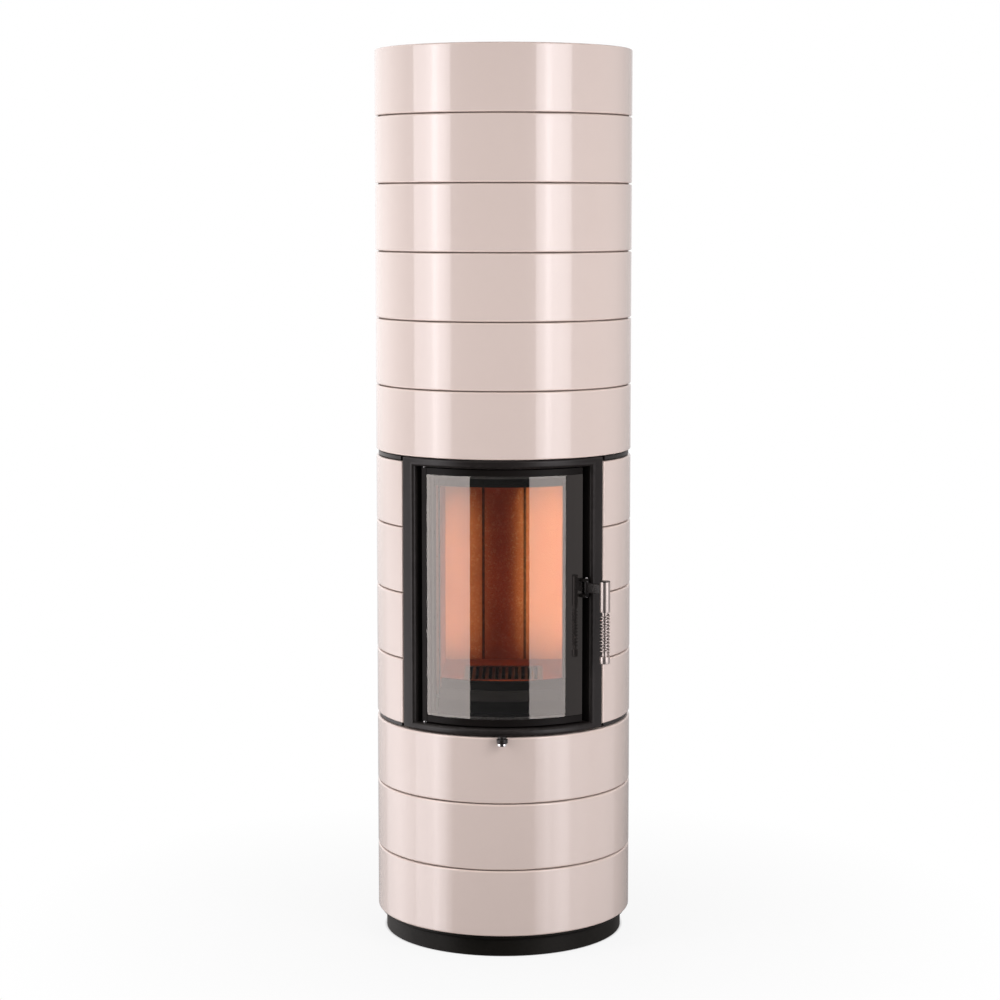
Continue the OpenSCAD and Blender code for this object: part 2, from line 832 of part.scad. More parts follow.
// Cover plate with a ring of round-ended vents
module top_cover() {
  hole = flue_r + 10;
  vent_in = hole + 40;
  vent_out = ring_in - ledge_w - 12;
  color("#232222")
    difference() {
      translate([0, 0, z_cover]) cylinder(r = ring_in - 1, h = cover_t);
      upright([0, 0], hole, z_cover - 1, z_cover + cover_t + 1);
      for (k = [0 : vent_count - 1])
        rotate((k + 0.5) * 360 / vent_count) {
          translate([vent_in, -vent_w / 2, z_cover - 1])
            cube([vent_out - vent_in, vent_w, cover_t + 2]);
          for (r = [vent_in, vent_out])
            upright([r, 0], vent_w / 2, z_cover - 1, z_cover + cover_t + 1);
        }
    }
}

seal_bearing = mouth_half + 0.1;
seal_deg = bearing_of(seal_w, door_back);
seal_depth = 4;
z_seal = z_door + (door_bottom_rail - seal_w) / 2;
z_seal_end = z_door_end - (door_top_rail - seal_w) / 2;

// Rectangular loop on the door's back, used for the rope seal and its groove
module seal_loop(r0, r1, extra) {
  b = seal_bearing + seal_deg;
  e = bearing_of(extra, door_back);
  difference() {
    sector(r0, r1, z_seal - extra, z_seal_end + extra, -b - e, b + e);
    sector(r0 - 1, r1 + 1, z_seal + seal_w + extra, z_seal_end - seal_w - extra,
           -seal_bearing + e, seal_bearing - e);
  }
}

tape_in = glass_face - glass_t - tape_t;
rebate_in = glass_face - retainer_t;

lug_z0 = latch_z - arm_h / 2 - 3 - lug_t;
lug_z1 = latch_z + arm_h / 2 + 3;

module latch_lug(z0) {
  side = polar(hub_r, latch_bearing + 90);
  far = door_half + 0.9;
  difference() {
    union() {
      upright(latch_xy, hub_r, z0, z0 + lug_t);
      translate([0, 0, z0])
        linear_extrude(lug_t)
          polygon([polar(door_back + 2, door_half - 1.5), polar(door_back + 2, far),
                   latch_xy + side, latch_xy - side,
                   polar(tape_in - 1, door_half - 0.05), polar(tape_in - 1, door_half - 1.5)]);
    }
    upright(latch_xy, latch_pin_r, z0 - 1, z0 + lug_t + 1);
  }
}

module door_frame() {
  color("#2b2a2a")
    difference() {
      union() {
        sector(door_back, glass_face, z_door, z_door_end, -door_half, door_half);
        latch_lug(lug_z0);
        latch_lug(lug_z1);
      }
      sector(door_back - 1, glass_face + 1, z_glass + glass_seat, z_glass_end - glass_seat,
             window_left, window_right);
      sector(tape_in, glass_face + 1, z_glass, z_glass_end, pocket_left, door_half + 0.2);
      for (z = [[z_door - 1, z_glass + touch], [z_glass_end - touch, z_door_end + 1]])
        sector(rebate_in, glass_face + 1, z[0], z[1], pocket_left, pane_right);
      seal_loop(door_back - 1, door_back + seal_depth, slide);
      upright(hinge_xy, hinge_pin_r + run_clear, z_door - 1, z_door + hinge_grip + 1);
      upright(hinge_xy, hinge_pin_r + run_clear, z_door_end - hinge_grip - 1, z_door_end + 1);
      sector(door_back - 1, keeper_face + 1.2, keeper_z0 - 6, keeper_z1 + 6,
             keeper_b0 - 0.4, door_half + 0.2);
    }
}

module door_glass() {
  color([0.75, 0.8, 0.82, 0.45])
    sector(glass_face - glass_t, glass_face, z_glass + glass_fit, z_glass_end - glass_fit,
           pane_left, pane_right);
}

// Curved strips that hold the pane above and below
module glass_retainers() {
  color("#4c4a49") {
    sector(rebate_in, glass_face, z_door, z_glass, pane_left, pane_right - 0.1);
    sector(rebate_in, glass_face, z_glass_end, z_door_end, pane_left, pane_right - 0.1);
  }
}

module glass_seal() {
  color("#2f2e2d")
    difference() {
      sector(tape_in, glass_face - glass_t, z_glass + glass_fit, z_glass_end - glass_fit,
             pane_left, pane_right);
      sector(tape_in - 1, glass_face, z_glass + glass_seat, z_glass_end - glass_seat,
             window_left, window_right);
    }
}

module door_seal() {
  color("#3d3b39")
    seal_loop(flange_face + seal_clear, door_back + seal_depth - slide, 0);
}

// Two pins pressed into the surround frame, each with the washer that the door runs on
module hinge_pins() {
  washer_r = hinge_pin_r + 2;
  color("#b9b9b9") {
    upright(hinge_xy, hinge_pin_r, z_open - hinge_grip, z_door + hinge_grip);
    upright(hinge_xy, hinge_pin_r, z_door_end - hinge_grip, z_open_end + hinge_grip);
    difference() {
      upright(hinge_xy, washer_r, z_open, z_door - 0.1);
      upright(hinge_xy, hinge_pin_r + run_clear, z_open - 1, z_door);
    }
  }
}

keeper_b0 = mouth_half + 2.4;
keeper_face = flange_face + 5;
keeper_z0 = latch_z - 8;
keeper_z1 = latch_z + 8;

module latch_keeper() {
  color("#4a4a4a")
    sector(flange_face, keeper_face, keeper_z0, keeper_z1, keeper_b0, keeper_b0 + 1.2);
}

module latch_pin() {
  color("#b9b9b9")
    upright(latch_xy, latch_pin_r, lug_z0 - 1.5, lug_z1 + lug_t + 1.5);
}

// Hub, outward arm to the grip and inward nose
module latch_lever() {
  z0 = latch_z - arm_h / 2;
  z1 = latch_z + arm_h / 2;
  nose_end = latch_xy + nose_l * [cos(nose_heading), sin(nose_heading)];
  color("#1d1c1c")
    difference() {
      union() {
        upright(latch_xy, hub_r, z0 - 2.5, z1 + 2.5);
        bar(latch_xy, grip_xy, arm_t, z0, z1);
        bar(latch_xy, nose_end, nose_t, keeper_z0, keeper_z1);
      }
      upright(latch_xy, latch_pin_r + run_clear, z0 - 4, z1 + 4);
      upright(grip_xy, grip_r, z0 - 1, z1 + 1);
    }
}

// The nose points back into the gap between the door's edge and the surround frame
nose_heading = 90 + latch_bearing + 1.5;

grip_top = latch_z + arm_h / 2 + grip_over_arm;
z_coil_top = grip_top - grip_top_l;
z_coil = z_coil_top - coil_l;
z_grip = z_coil - grip_end_l;
coil_r = grip_r - wire_d / 2 - 0.2;
core_r = coil_r - wire_d / 2 - 0.6;

module handle_rod() {
  c = 1;
  color("#c9c7c4")
    translate([grip_xy[0], grip_xy[1], 0])
      rotate_extrude()
        polygon([[0, z_grip], [grip_r - c, z_grip], [grip_r, z_grip + c],
                 [grip_r, z_coil - c / 2], [grip_r - c / 2, z_coil], [core_r, z_coil],
                 [core_r, z_coil_top], [grip_r - c / 2, z_coil_top],
                 [grip_r, z_coil_top + c / 2], [grip_r, grip_top], [0, grip_top]]);
}

module handle_cap() {
  c = grip_cap_t / 2;
  color("#262525")
    translate([grip_xy[0], grip_xy[1], grip_top])
      rotate_extrude()
        polygon([[0, 0], [grip_r, 0], [grip_r, c], [grip_r - c, grip_cap_t], [0, grip_cap_t]]);
}

// Route of the wound wire, unrolled: distance round the grip and height.
// It leaves the end piece upright, bends over, winds up, and bends upright again.
wire_bend = 3.5;
bend_steps = 4;
rings_per_turn = 8;
wire_sides = 6;
wind_rise = coil_l - 2 * (wire_d + wire_bend);
wind_round = coil_turns * 2 * PI * coil_r;
wind_slope = atan(wind_rise / wind_round);
bend_end = [wire_bend * (1 - sin(wind_slope)), wire_d + wire_bend * cos(wind_slope)];
wind_run = (coil_l - 2 * bend_end[1]) / tan(wind_slope);
wire_end = 2 * bend_end[0] + wind_run;
turn_rings = coil_turns * rings_per_turn;

function bend_point(k) =
  let (a = (90 - wind_slope) * k / bend_steps)
  [wire_bend * (1 - cos(a)), wire_d + wire_bend * sin(a), a];
low_route = concat([[0, 0, 0]], [for (k = [0 : bend_steps]) bend_point(k)]);
mid_route = [for (k = [1 : turn_rings - 1])
  [bend_end[0] + wind_run * k / turn_rings,
   bend_end[1] + (coil_l - 2 * bend_end[1]) * k / turn_rings, 90 - wind_slope]];
high_route = [for (k = [len(low_route) - 1 : -1 : 0])
  [wire_end - low_route[k][0], coil_l - low_route[k][1], low_route[k][2]]];
route = concat(low_route, mid_route, high_route);

function round_angle(p) = p[0] / coil_r * 180 / PI;
function out_dir(p) = [cos(round_angle(p)), sin(round_angle(p)), 0];
function run_dir(p) = [-sin(round_angle(p)) * sin(p[2]), cos(round_angle(p)) * sin(p[2]), cos(p[2])];
function wire_centre(p) = coil_r * out_dir(p) + [0, 0, p[1]];
function wire_point(p, k) =
  let (a = k * 360 / wire_sides)
  wire_centre(p) + wire_d / 2 * (cos(a) * out_dir(p) + sin(a) * cross(run_dir(p), out_dir(p)));

wire_points = [for (p = route) for (k = [0 : wire_sides - 1]) wire_point(p, k)];
last_ring = (len(route) - 1) * wire_sides;
wire_faces = concat(
  [for (k = [1 : wire_sides - 2]) [0, k, k + 1]],
  [for (i = [0 : len(route) - 2]) for (k = [0 : wire_sides - 1])
    let (a = i * wire_sides + k, b = i * wire_sides + (k + 1) % wire_sides)
    each [[a, a + wire_sides, b], [b, a + wire_sides, b + wire_sides]]],
  [for (k = [1 : wire_sides - 2]) [last_ring, last_ring + k + 1, last_ring + k]]);

// Least gap of the wire to itself, between rings more than half a turn apart
wire_gap = min([for (i = [0 : len(route) - 1]) for (j = [i + 5 : 1 : len(route) - 1])
  norm(wire_centre(route[i]) - wire_centre(route[j]))]) - wire_d;

module handle_coil() {
  echo("least gap of the wound wire to itself, mm", wire_gap);
  color("#c9c7c4")
    translate([grip_xy[0], grip_xy[1], z_coil])
      polyhedron(points = wire_points, faces = wire_faces, convexity = 10);
}

plinth_ring();
levelling_feet();
base_plate();
support_pillars();
lower_ring(0);  // lower_ring_1
lower_ring(1);  // lower_ring_2
lower_ring(2);  // lower_ring_3
floor_plate();
air_spigot();
air_duct();
register_disc();
register_bolt();
air_lever();
air_knob();
firebox_shell();
front_flange();
surround_frame();
frame_bolts();
side_tiles(0);  // side_tiles_1
side_tiles(1);  // side_tiles_2
side_tiles(2);  // side_tiles_3
side_tiles(3);  // side_tiles_4
lining_back_centre();
lining_back_left();
lining_back_right();
lining_side_left();
lining_side_right();
hearth_bricks();
grate();
ash_box();
ash_pan();
log_guard();
baffle_plate();
top_plate();
storage_layer(0);  // storage_layer_1
storage_layer(1);  // storage_layer_2
storage_layer(2);  // storage_layer_3
storage_layer(3);  // storage_layer_4
storage_layer(4);  // storage_layer_5
flue_spigot();
upper_ring(0);  // upper_ring_1
upper_ring(1);  // upper_ring_2
upper_ring(2);  // upper_ring_3
upper_ring(3);  // upper_ring_4
upper_ring(4);  // upper_ring_5
upper_ring(5);  // upper_ring_6
top_cover();
ring_seam_strips();
door_frame();
door_glass();
glass_retainers();
glass_seal();
door_seal();
hinge_pins();
latch_keeper();
latch_pin();
latch_lever();
handle_rod();
handle_coil();
handle_cap();
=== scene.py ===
import json
import math

import bmesh
import bpy
from mathutils import Matrix, Vector


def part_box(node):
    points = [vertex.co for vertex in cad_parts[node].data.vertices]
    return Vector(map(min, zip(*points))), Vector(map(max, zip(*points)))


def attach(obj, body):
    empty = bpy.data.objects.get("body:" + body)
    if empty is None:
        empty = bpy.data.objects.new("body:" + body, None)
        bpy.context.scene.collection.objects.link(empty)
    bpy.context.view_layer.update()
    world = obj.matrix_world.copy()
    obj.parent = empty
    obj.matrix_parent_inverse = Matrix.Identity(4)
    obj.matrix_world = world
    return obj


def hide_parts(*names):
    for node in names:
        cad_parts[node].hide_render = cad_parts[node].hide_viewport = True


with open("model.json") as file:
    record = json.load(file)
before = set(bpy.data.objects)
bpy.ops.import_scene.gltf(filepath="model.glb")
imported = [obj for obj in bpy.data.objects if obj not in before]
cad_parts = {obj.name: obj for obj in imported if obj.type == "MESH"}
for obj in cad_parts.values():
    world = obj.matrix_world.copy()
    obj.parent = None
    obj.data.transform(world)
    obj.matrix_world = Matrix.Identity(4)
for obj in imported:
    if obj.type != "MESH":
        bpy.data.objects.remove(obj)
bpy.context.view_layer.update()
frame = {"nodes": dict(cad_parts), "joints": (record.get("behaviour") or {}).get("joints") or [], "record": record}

bl_info = {
    "name": "Round storage stove",
    "version": (1, 0, 0),
    "blender": (4, 5, 0),
    "location": "View3D > Sidebar > Stove",
    "description": "Dresses the packed stove: glazed rings, cast frame, curved door and studio",
    "category": "Object",
}

MM = 0.001
SHARP = math.radians(40)
NEAR = 1e-6              # points closer than this count as one
ON_PLANE = 1e-7          # points closer than this to a cutting plane count as on it
HOLD = 1.25              # edge loops that keep flats flat run this many roundings off an edge
RING_COUNT = 192         # steps round a ceramic ring
UPPER_RINGS = [f"upper_ring_{i}" for i in range(1, 7)]
LOWER_RINGS = [f"lower_ring_{i}" for i in range(1, 4)]
SPIGOT_RING = LOWER_RINGS[1]
SIDE_ROWS = [f"side_tiles_{i}" for i in range(1, 5)]
LININGS = ["lining_back_centre", "lining_back_left", "lining_back_right",
           "lining_side_left", "lining_side_right"]


def span(node):
    """Lowest and highest z of a CAD node."""
    low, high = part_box(node)
    return low.z, high.z


def reach(node):
    """Largest distance from the stove's axis along X of a CAD node."""
    low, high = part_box(node)
    return max(-low.x, high.x)


def reach_front(node):
    """Largest distance from the stove's axis towards the front of a CAD node."""
    return -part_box(node)[0].y


def middle(node):
    """Middle of a CAD node's box."""
    low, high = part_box(node)
    return (low + high) / 2


# Turning axes from the record, and axes of the grip and the knob
JOINTS = {j["name"]: Vector(j["pos_m"]) for j in frame["joints"]}
HINGE = JOINTS["door_hinge"]
PIVOT = JOINTS["latch_pivot"]
GRIP = middle("handle_cap")
KNOB = middle("air_knob")

# Radii of the stove, taken from the CAD nodes
RING_R = reach("upper_ring_1")
PLINTH_R = reach("plinth_ring")
PANE_R = reach_front("glass_retainers")

# Bearings in degrees from the front: tiles, surround frame and its opening, door leaf, pane,
# clear part of the pane, rope seal and its opening
TILES = (50.5, 179.75)
SURROUND, DOORWAY = 50, 43.2
LEAF = 40.3
PANE = (-37.3, 39.8)
WINDOW = (-36.4, 30.6)
SEAL, SEAL_OPENING = 37.88, 36.12
PIVOT_BEARING = 41.3

# Widths of the surround frame under and over the door, thickness of the glass, depth of its
# seat behind its face, and radii of the rope seal
SILL, LINTEL = 14.5 * MM, 19 * MM
GLASS_T, SEAT = 4 * MM, 5.5 * MM
SEAL_R = (256.3 * MM, 261.7 * MM)

# Undersides, thickness and radius of the latch lugs, the webs that carry them (length, and
# turn in degrees), and the pins, their holes and the grip
LUGS = (799 * MM, 834 * MM)
LUG_T = 7 * MM
LUG_R = 5.5 * MM
WEB_LENGTH, WEB_TURN = 16 * MM, -48
PIN_R = 3 * MM
PIN_HOLE_R = 3.2 * MM
HINGE_GRIP = 11 * MM
GRIP_R = 11.5 * MM
BRICK_EDGE = 3.2 * MM


# Sizes and colours that a user would change
def distance(name, text, default):
    """Length in metres."""
    return bpy.props.FloatProperty(name=name, description=text, default=default,
                                   unit="LENGTH", subtype="DISTANCE", precision=4)


def colour(name, text, default):
    """Colour with its opacity."""
    return bpy.props.FloatVectorProperty(name=name, description=text, default=default,
                                         subtype="COLOR", size=4, min=0.0, max=1.0)


def amount(name, text, default, high=1.0):
    """Share or strength on a slider."""
    return bpy.props.FloatProperty(name=name, description=text, default=default,
                                   min=0.0, max=high, subtype="FACTOR")


def number(name, text, default, high, low=0.0):
    """Plain number between two limits."""
    return bpy.props.FloatProperty(name=name, description=text, default=default,
                                   min=low, max=high)


def angle(name, text, degrees):
    """Angle, given in degrees."""
    return bpy.props.FloatProperty(name=name, description=text,
                                   default=math.radians(degrees), subtype="ANGLE")


class CeramicSizes(bpy.types.PropertyGroup):
    wall: distance("Wall", "Wall of the ceramic rings", 28 * MM)
    rounding: distance("Edge rounding", "Rounding of the ceramic's outer edges", 3.5 * MM)
    ledge: distance("Ledge", "Width of the ledge that carries the cover", 10 * MM)
    spigot_hole: distance("Spigot hole", "Radius of the hole for the air spigot", 55 * MM)
    glaze: colour("Glaze", "Colour of the glaze", (0.612, 0.518, 0.468, 1))
    # The rim colour is lighter than the glaze: thin glaze on the edges, and also a painted highlight on the
    # rounded edges
    rim: colour("Rim", "Colour of the glaze where it runs thin on the edges",
                (0.700, 0.575, 0.510, 1))
    gloss: amount("Roughness", "Roughness of the glaze", 0.05)


class CastSizes(bpy.types.PropertyGroup):
    bead: distance("Bead", "Rounding of the surround frame towards the door", 9.5 * MM)
    rim: distance("Rim", "Rounding of the surround frame's outer edge", 3.5 * MM)
    leaf_edge: distance("Leaf edge", "Rounding of the door leaf's edges", 1.2 * MM)
    paint: colour("Paint", "Colour of the stove paint on cast iron", (0.0125, 0.0105, 0.0098, 1))
    worn: colour("Worn paint", "Colour of the paint where edges are rubbed",
                 (0.034, 0.030, 0.028, 1))
    sheen: amount("Roughness", "Roughness of the stove paint", 0.34)


class GripSizes(bpy.types.PropertyGroup):
    wire: distance("Wire", "Thickness of the wound wire", 4 * MM)
    turns: bpy.props.IntProperty(name="Turns", description="Turns of the wound wire",
                                 default=11, min=8, max=12)
    core: distance("Core", "Radius of the core inside the winding", 6.7 * MM)
    steel: colour("Steel", "Colour of the brushed steel", (0.50, 0.445, 0.415, 1))


class StudioSizes(bpy.types.PropertyGroup):
    distance: distance("Camera distance", "Distance of the camera from the stove's axis", 5.632)
    height: distance("Camera height", "Height of the camera above the floor", 1.655)
    bearing: angle("Camera bearing", "How far the camera stands round to the right", 0.55)
    tilt: angle("Camera tilt", "How far the camera looks down", 6.043)
    lens: number("Lens", "Focal length in millimetres", 89.09, 300.0, 20.0)
    ambient: amount("Ambient", "Strength of the even light from all round", 0.30, 2.0)
    strips: number("Strip lights", "Radiance in the middle of the tall strip lights", 7.0, 20.0)
    tint: colour("Strip light colour", "Colour of the tall strip lights", (1.0, 0.955, 0.985, 1))
    veils: number("Pane lights", "Radiance of the strips that only the pane mirrors", 7.4, 20.0)
    veil_tone: colour("Pane light colour", "Colour of the strips that only the pane mirrors",
                      (1.0, 0.90, 0.86, 1))
    chamber: number("Chamber lamps", "Power of a warm lamp in the chamber, in watts", 0.8, 50.0)
    glow: colour("Hearth light colour", "Colour of the warm lamp over the hearth",
                 (1.0, 0.37, 0.18, 1))
    side_glow: colour("Side light colour", "Colour of the lamps before the side bricks",
                      (1.0, 0.92, 0.44, 1))


# Shapes
def on_ring(radius, bearing, z=0.0):
    """Point at a distance from the axis; bearings in degrees run from the front towards +X."""
    b = math.radians(bearing)
    return Vector((radius * math.sin(b), -radius * math.cos(b), z))


def flat_x(bearing):
    """Place of a bearing on the flat drawing that is bent round the stove."""
    return math.radians(bearing) * RING_R


def bend(bm):
    """Bend a flat drawing round the axis. Its X runs along the face, its -Y is the radius."""
    for v in bm.verts:
        v.co = on_ring(-v.co.y, math.degrees(v.co.x / RING_R), v.co.z)


def slice_plane(bm, point, normal):
    """Extra edge loop where a plane crosses the shape."""
    bmesh.ops.bisect_plane(bm, geom=bm.verts[:] + bm.edges[:] + bm.faces[:], plane_co=point,
                           plane_no=normal, dist=ON_PLANE)


def slice_at(bm, axis, places):
    """Extra edge loops across a drawing, so that it bends smoothly and its flats stay flat."""
    normal = Vector([float(a == axis) for a in "XYZ"])
    for place in places:
        slice_plane(bm, normal * place, normal)


def steps(low, high, step):
    """Evenly spaced places between two ends, without the ends."""
    count = max(1, round(abs(high - low) / step))
    return [low + (high - low) * k / count for k in range(1, count)]


def new_shape():
    """Empty shape whose faces can be marked as rounded edges."""
    bm = bmesh.new()
    bm.faces.layers.float.new("edge")
    return bm


def bevel(bm, geom, radius, segments, affect="EDGES"):
    """Round edges or corners; gives the new faces."""
    return bmesh.ops.bevel(bm, geom=geom, offset=radius, offset_type="OFFSET",
                           segments=segments, profile=0.5, affect=affect,
                           clamp_overlap=True, material=-1)["faces"]


def round_edges(bm, edges, radius, segments):
    """Round some edges and mark the new faces as edge, for wear, thin glaze, the painted highlight on glazed edges
    and the painted shade in brick joints.
    """
    made = bevel(bm, edges, radius, segments)
    layer = bm.faces.layers.float["edge"]
    for face in made:
        face[layer] = 1.0


def block(x0, x1, y0, y1, z0, z1):
    """Plain block between two corners; more shaping follows."""
    bm = new_shape()
    made = bmesh.ops.create_cube(bm, size=1.0)["verts"]
    bmesh.ops.scale(bm, vec=(x1 - x0, y1 - y0, z1 - z0), verts=made)
    bmesh.ops.translate(bm, vec=((x0 + x1) / 2, (y0 + y1) / 2, (z0 + z1) / 2), verts=made)
    return bm


def placed(bm, turn, at):
    """The shape turned about Z and moved to an upright axis."""
    bmesh.ops.rotate(bm, cent=(0, 0, 0), verts=bm.verts[:], matrix=Matrix.Rotation(turn, 3, "Z"))
    bmesh.ops.translate(bm, vec=(at.x, at.y, 0), verts=bm.verts[:])
    return bm


def curved_block(r0, r1, z0, z1, b0, b1, rounding, segments=4, step=2.0, all_edges=False):
    """Part of a ring with its outer edges rounded, bent from a flat block."""
    bm = block(flat_x(b0), flat_x(b1), -r1, -r0, z0, z1)
    edges = [e for e in bm.edges if all_edges or all(abs(v.co.y + r1) < NEAR for v in e.verts)]
    round_edges(bm, edges, rounding, segments)
    hold = rounding * HOLD
    slice_at(bm, "Z", [z0 + hold, z1 - hold])
    slice_at(bm, "X", [flat_x(b0) + hold, flat_x(b1) - hold])
    slice_at(bm, "X", [flat_x(b) for b in steps(b0, b1, step)])
    bend(bm)
    return bm


def curved_frame(r0, r1, outer, opening, rounding, segments=4, step=2.0, both=False, inner=None):
    """Curved frame with a rectangular opening, its front edges rounded, or the back's too.
    outer and opening are (b0, b1, z0, z1); inner is the rounding towards the opening."""
    bm = new_shape()
    rings = []
    for b0, b1, z0, z1 in (outer, opening):
        rings.append([bm.verts.new((flat_x(b), -r1, z))
                      for b, z in ((b0, z0), (b1, z0), (b1, z1), (b0, z1))])
    for k in range(4):
        j = (k + 1) % 4
        bm.faces.new((rings[0][k], rings[0][j], rings[1][j], rings[1][k]))
    bm.normal_update()
    made = bmesh.ops.extrude_face_region(bm, geom=bm.faces[:], use_keep_orig=True)
    moved = [v for v in made["geom"] if isinstance(v, bmesh.types.BMVert)]
    bmesh.ops.translate(bm, vec=(0, r1 - r0, 0), verts=moved)
    bmesh.ops.recalc_face_normals(bm, faces=bm.faces[:])
    front = [e for e in bm.edges if e.calc_face_angle(0) > 1 and
             abs(e.verts[0].co.y - e.verts[1].co.y) < NEAR and
             (both or abs(e.verts[0].co.y + r1) < NEAR)]
    if inner:
        side = flat_x(outer[1]) - NEAR
        towards = [e for e in front if all(abs(v.co.x) < side and outer[2] + NEAR < v.co.z
                                           < outer[3] - NEAR for v in e.verts)]
        round_edges(bm, towards, inner, segments)
        front = [e for e in front if e.is_valid and e not in towards]
    round_edges(bm, front, rounding, segments)
    slice_at(bm, "X", [flat_x(b) for b in steps(outer[0], outer[1], step)])
    bend(bm)
    return bm


def turned(profile, count=128, centre=(0, 0), rounded=(), segments=3):
    """Turn a section of (radius, height) points about an upright axis. The points run round
    the section; `rounded` is (index, radius) of corners to round."""
    bm = new_shape()
    verts = [bm.verts.new((0, -r, z)) for r, z in profile]
    bm.faces.new(verts)
    for index, radius in rounded:
        bevel(bm, [verts[index]], radius, segments, "VERTICES")
    faces = bm.faces[:]
    bmesh.ops.spin(bm, geom=bm.edges[:], cent=(0, 0, 0), axis=(0, 0, 1), angle=2 * math.pi,
                   steps=count, use_merge=True, use_duplicate=False)
    bmesh.ops.delete(bm, geom=faces, context="FACES_ONLY")
    bmesh.ops.remove_doubles(bm, verts=bm.verts[:], dist=NEAR)
    loose = [f for f in bm.faces if f.calc_area() < 1e-12]
    bmesh.ops.delete(bm, geom=loose, context="FACES")
    bmesh.ops.recalc_face_normals(bm, faces=bm.faces[:])
    layer = bm.faces.layers.float["edge"]
    for face in bm.faces:
        face[layer] = float(0.15 < abs(face.normal.z) < 0.985)
    bmesh.ops.translate(bm, vec=(centre[0], centre[1], 0), verts=bm.verts[:])
    return bm


def drum(r0, r1, z0, z1, centre=(0, 0), low=0.0, high=0.0, count=40, segments=3):
    """Turned disc or ring between two radii, with its outer edges rounded."""
    rounded = [(corner, radius) for corner, radius in ((1, low), (2, high)) if radius]
    return turned([(r0, z0), (r1, z0), (r1, z1), (r0, z1)], count, centre, rounded, segments)


def in_scene(name, data):
    """New object of this data in the scene."""
    obj = bpy.data.objects.new(name, data)
    bpy.context.scene.collection.objects.link(obj)
    return obj


def as_object(name, bm):
    """New object in the scene with this shape as its mesh."""
    mesh = bpy.data.meshes.new(name)
    bm.to_mesh(mesh)
    bm.free()
    return in_scene(name, mesh)


def cleaned(bm):
    """The shape with its doubles merged and its faces pointing outwards."""
    bmesh.ops.remove_doubles(bm, verts=bm.verts[:], dist=NEAR)
    bmesh.ops.recalc_face_normals(bm, faces=bm.faces[:])
    return bm


def join(*parts):
    """Several shapes in one mesh."""
    whole = new_shape()
    for bm in parts:
        mesh = bpy.data.meshes.new("joined")
        bm.to_mesh(mesh)
        bm.free()
        whole.from_mesh(mesh)
        bpy.data.meshes.remove(mesh)
    return whole


def settle(obj, body, nodes):
    """Let a piece ride on a body and stand for CAD nodes."""
    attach(obj, body)
    if nodes:
        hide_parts(*nodes)


def piece(name, bm, body, slot, *nodes, finishes=None):
    """Turn a shape into a piece, in the finish of its slot or in finishes of its own."""
    obj = as_object(name, cleaned(bm))
    for finish_name in finishes or [slot]:
        obj.data.materials.append(finish_of(finish_name))
    obj.data.shade_smooth()
    obj.data.set_sharp_from_angle(angle=SHARP)
    settle(obj, body, nodes)


def carved(bm, *cutters):
    """A closed shape with other closed shapes cut out of it."""
    made = [as_object("carved", cleaned(shape)) for shape in (bm,) + cutters]
    for tool in made[1:]:
        cut = made[0].modifiers.new("cut", "BOOLEAN")
        cut.object, cut.operation, cut.solver = tool, "DIFFERENCE", "EXACT"
    result = bmesh.new()
    result.from_object(made[0], bpy.context.evaluated_depsgraph_get())
    for obj in made:
        mesh = obj.data
        bpy.data.objects.remove(obj)
        bpy.data.meshes.remove(mesh)
    return result


# Finishes
class Net:
    """Adds nodes to a tree. An input is given a number, a colour or another node's output."""

    def __init__(self, tree):
        self.tree = tree

    def feed(self, socket, value):
        """Link a socket to another node's output, or give it a value."""
        if isinstance(value, bpy.types.NodeSocket):
            self.tree.links.new(value, socket)
        else:
            socket.default_value = value

    def add(self, kind, inputs=None, out=0, **settings):
        node = self.tree.nodes.new(kind)
        for key, value in settings.items():
            setattr(node, key, value)
        for key, value in (inputs or {}).items():
            self.feed(node.inputs[key], value)
        return node.outputs[out] if len(node.outputs) else node

    def math(self, operation, a, b=0.0, clamp=False):
        return self.add("ShaderNodeMath", {0: a, 1: b}, operation=operation, use_clamp=clamp)

    def times(self, a, b, clamp=False):
        return self.math("MULTIPLY", a, b, clamp)

    def noise(self, where, scale, detail=3.0, rough=0.5):
        return self.add("ShaderNodeTexNoise", {"Vector": where, "Scale": scale,
                                               "Detail": detail, "Roughness": rough})

    def span(self, value, low, high, to_low=0.0, to_high=1.0):
        return self.add("ShaderNodeMapRange", {"Value": value, "From Min": low, "From Max": high,
                                               "To Min": to_low, "To Max": to_high})

    def mix(self, factor, a, b):
        return self.add("ShaderNodeMix", {0: factor, 6: a, 7: b}, out=2, data_type="RGBA")

    def stretched(self, where, scale):
        return self.add("ShaderNodeMapping", {"Vector": where, "Scale": scale})

    def cells(self, where, scale, out="Distance"):
        return self.add("ShaderNodeTexVoronoi", {"Vector": where, "Scale": scale}, out)

    def blend(self, factor, a, b):
        return self.add("ShaderNodeMixShader", {0: factor, 1: a, 2: b})

    def rays(self):
        return self.tree.nodes.new("ShaderNodeLightPath").outputs

    def axes(self, vector):
        return self.add("ShaderNodeSeparateXYZ", {"Vector": vector}).node.outputs


def empty_net(owner):
    """Net on the emptied node tree of a material, a lamp or the world."""
    owner.use_nodes = True
    owner.node_tree.nodes.clear()
    return Net(owner.node_tree)


def shade(tone, factor):
    """Colour made darker or lighter, still opaque."""
    return [min(1.0, c * factor) for c in tone[:3]] + [1]


FLOAT, COLOR, VECTOR = "NodeSocketFloat", "NodeSocketColor", "NodeSocketVector"


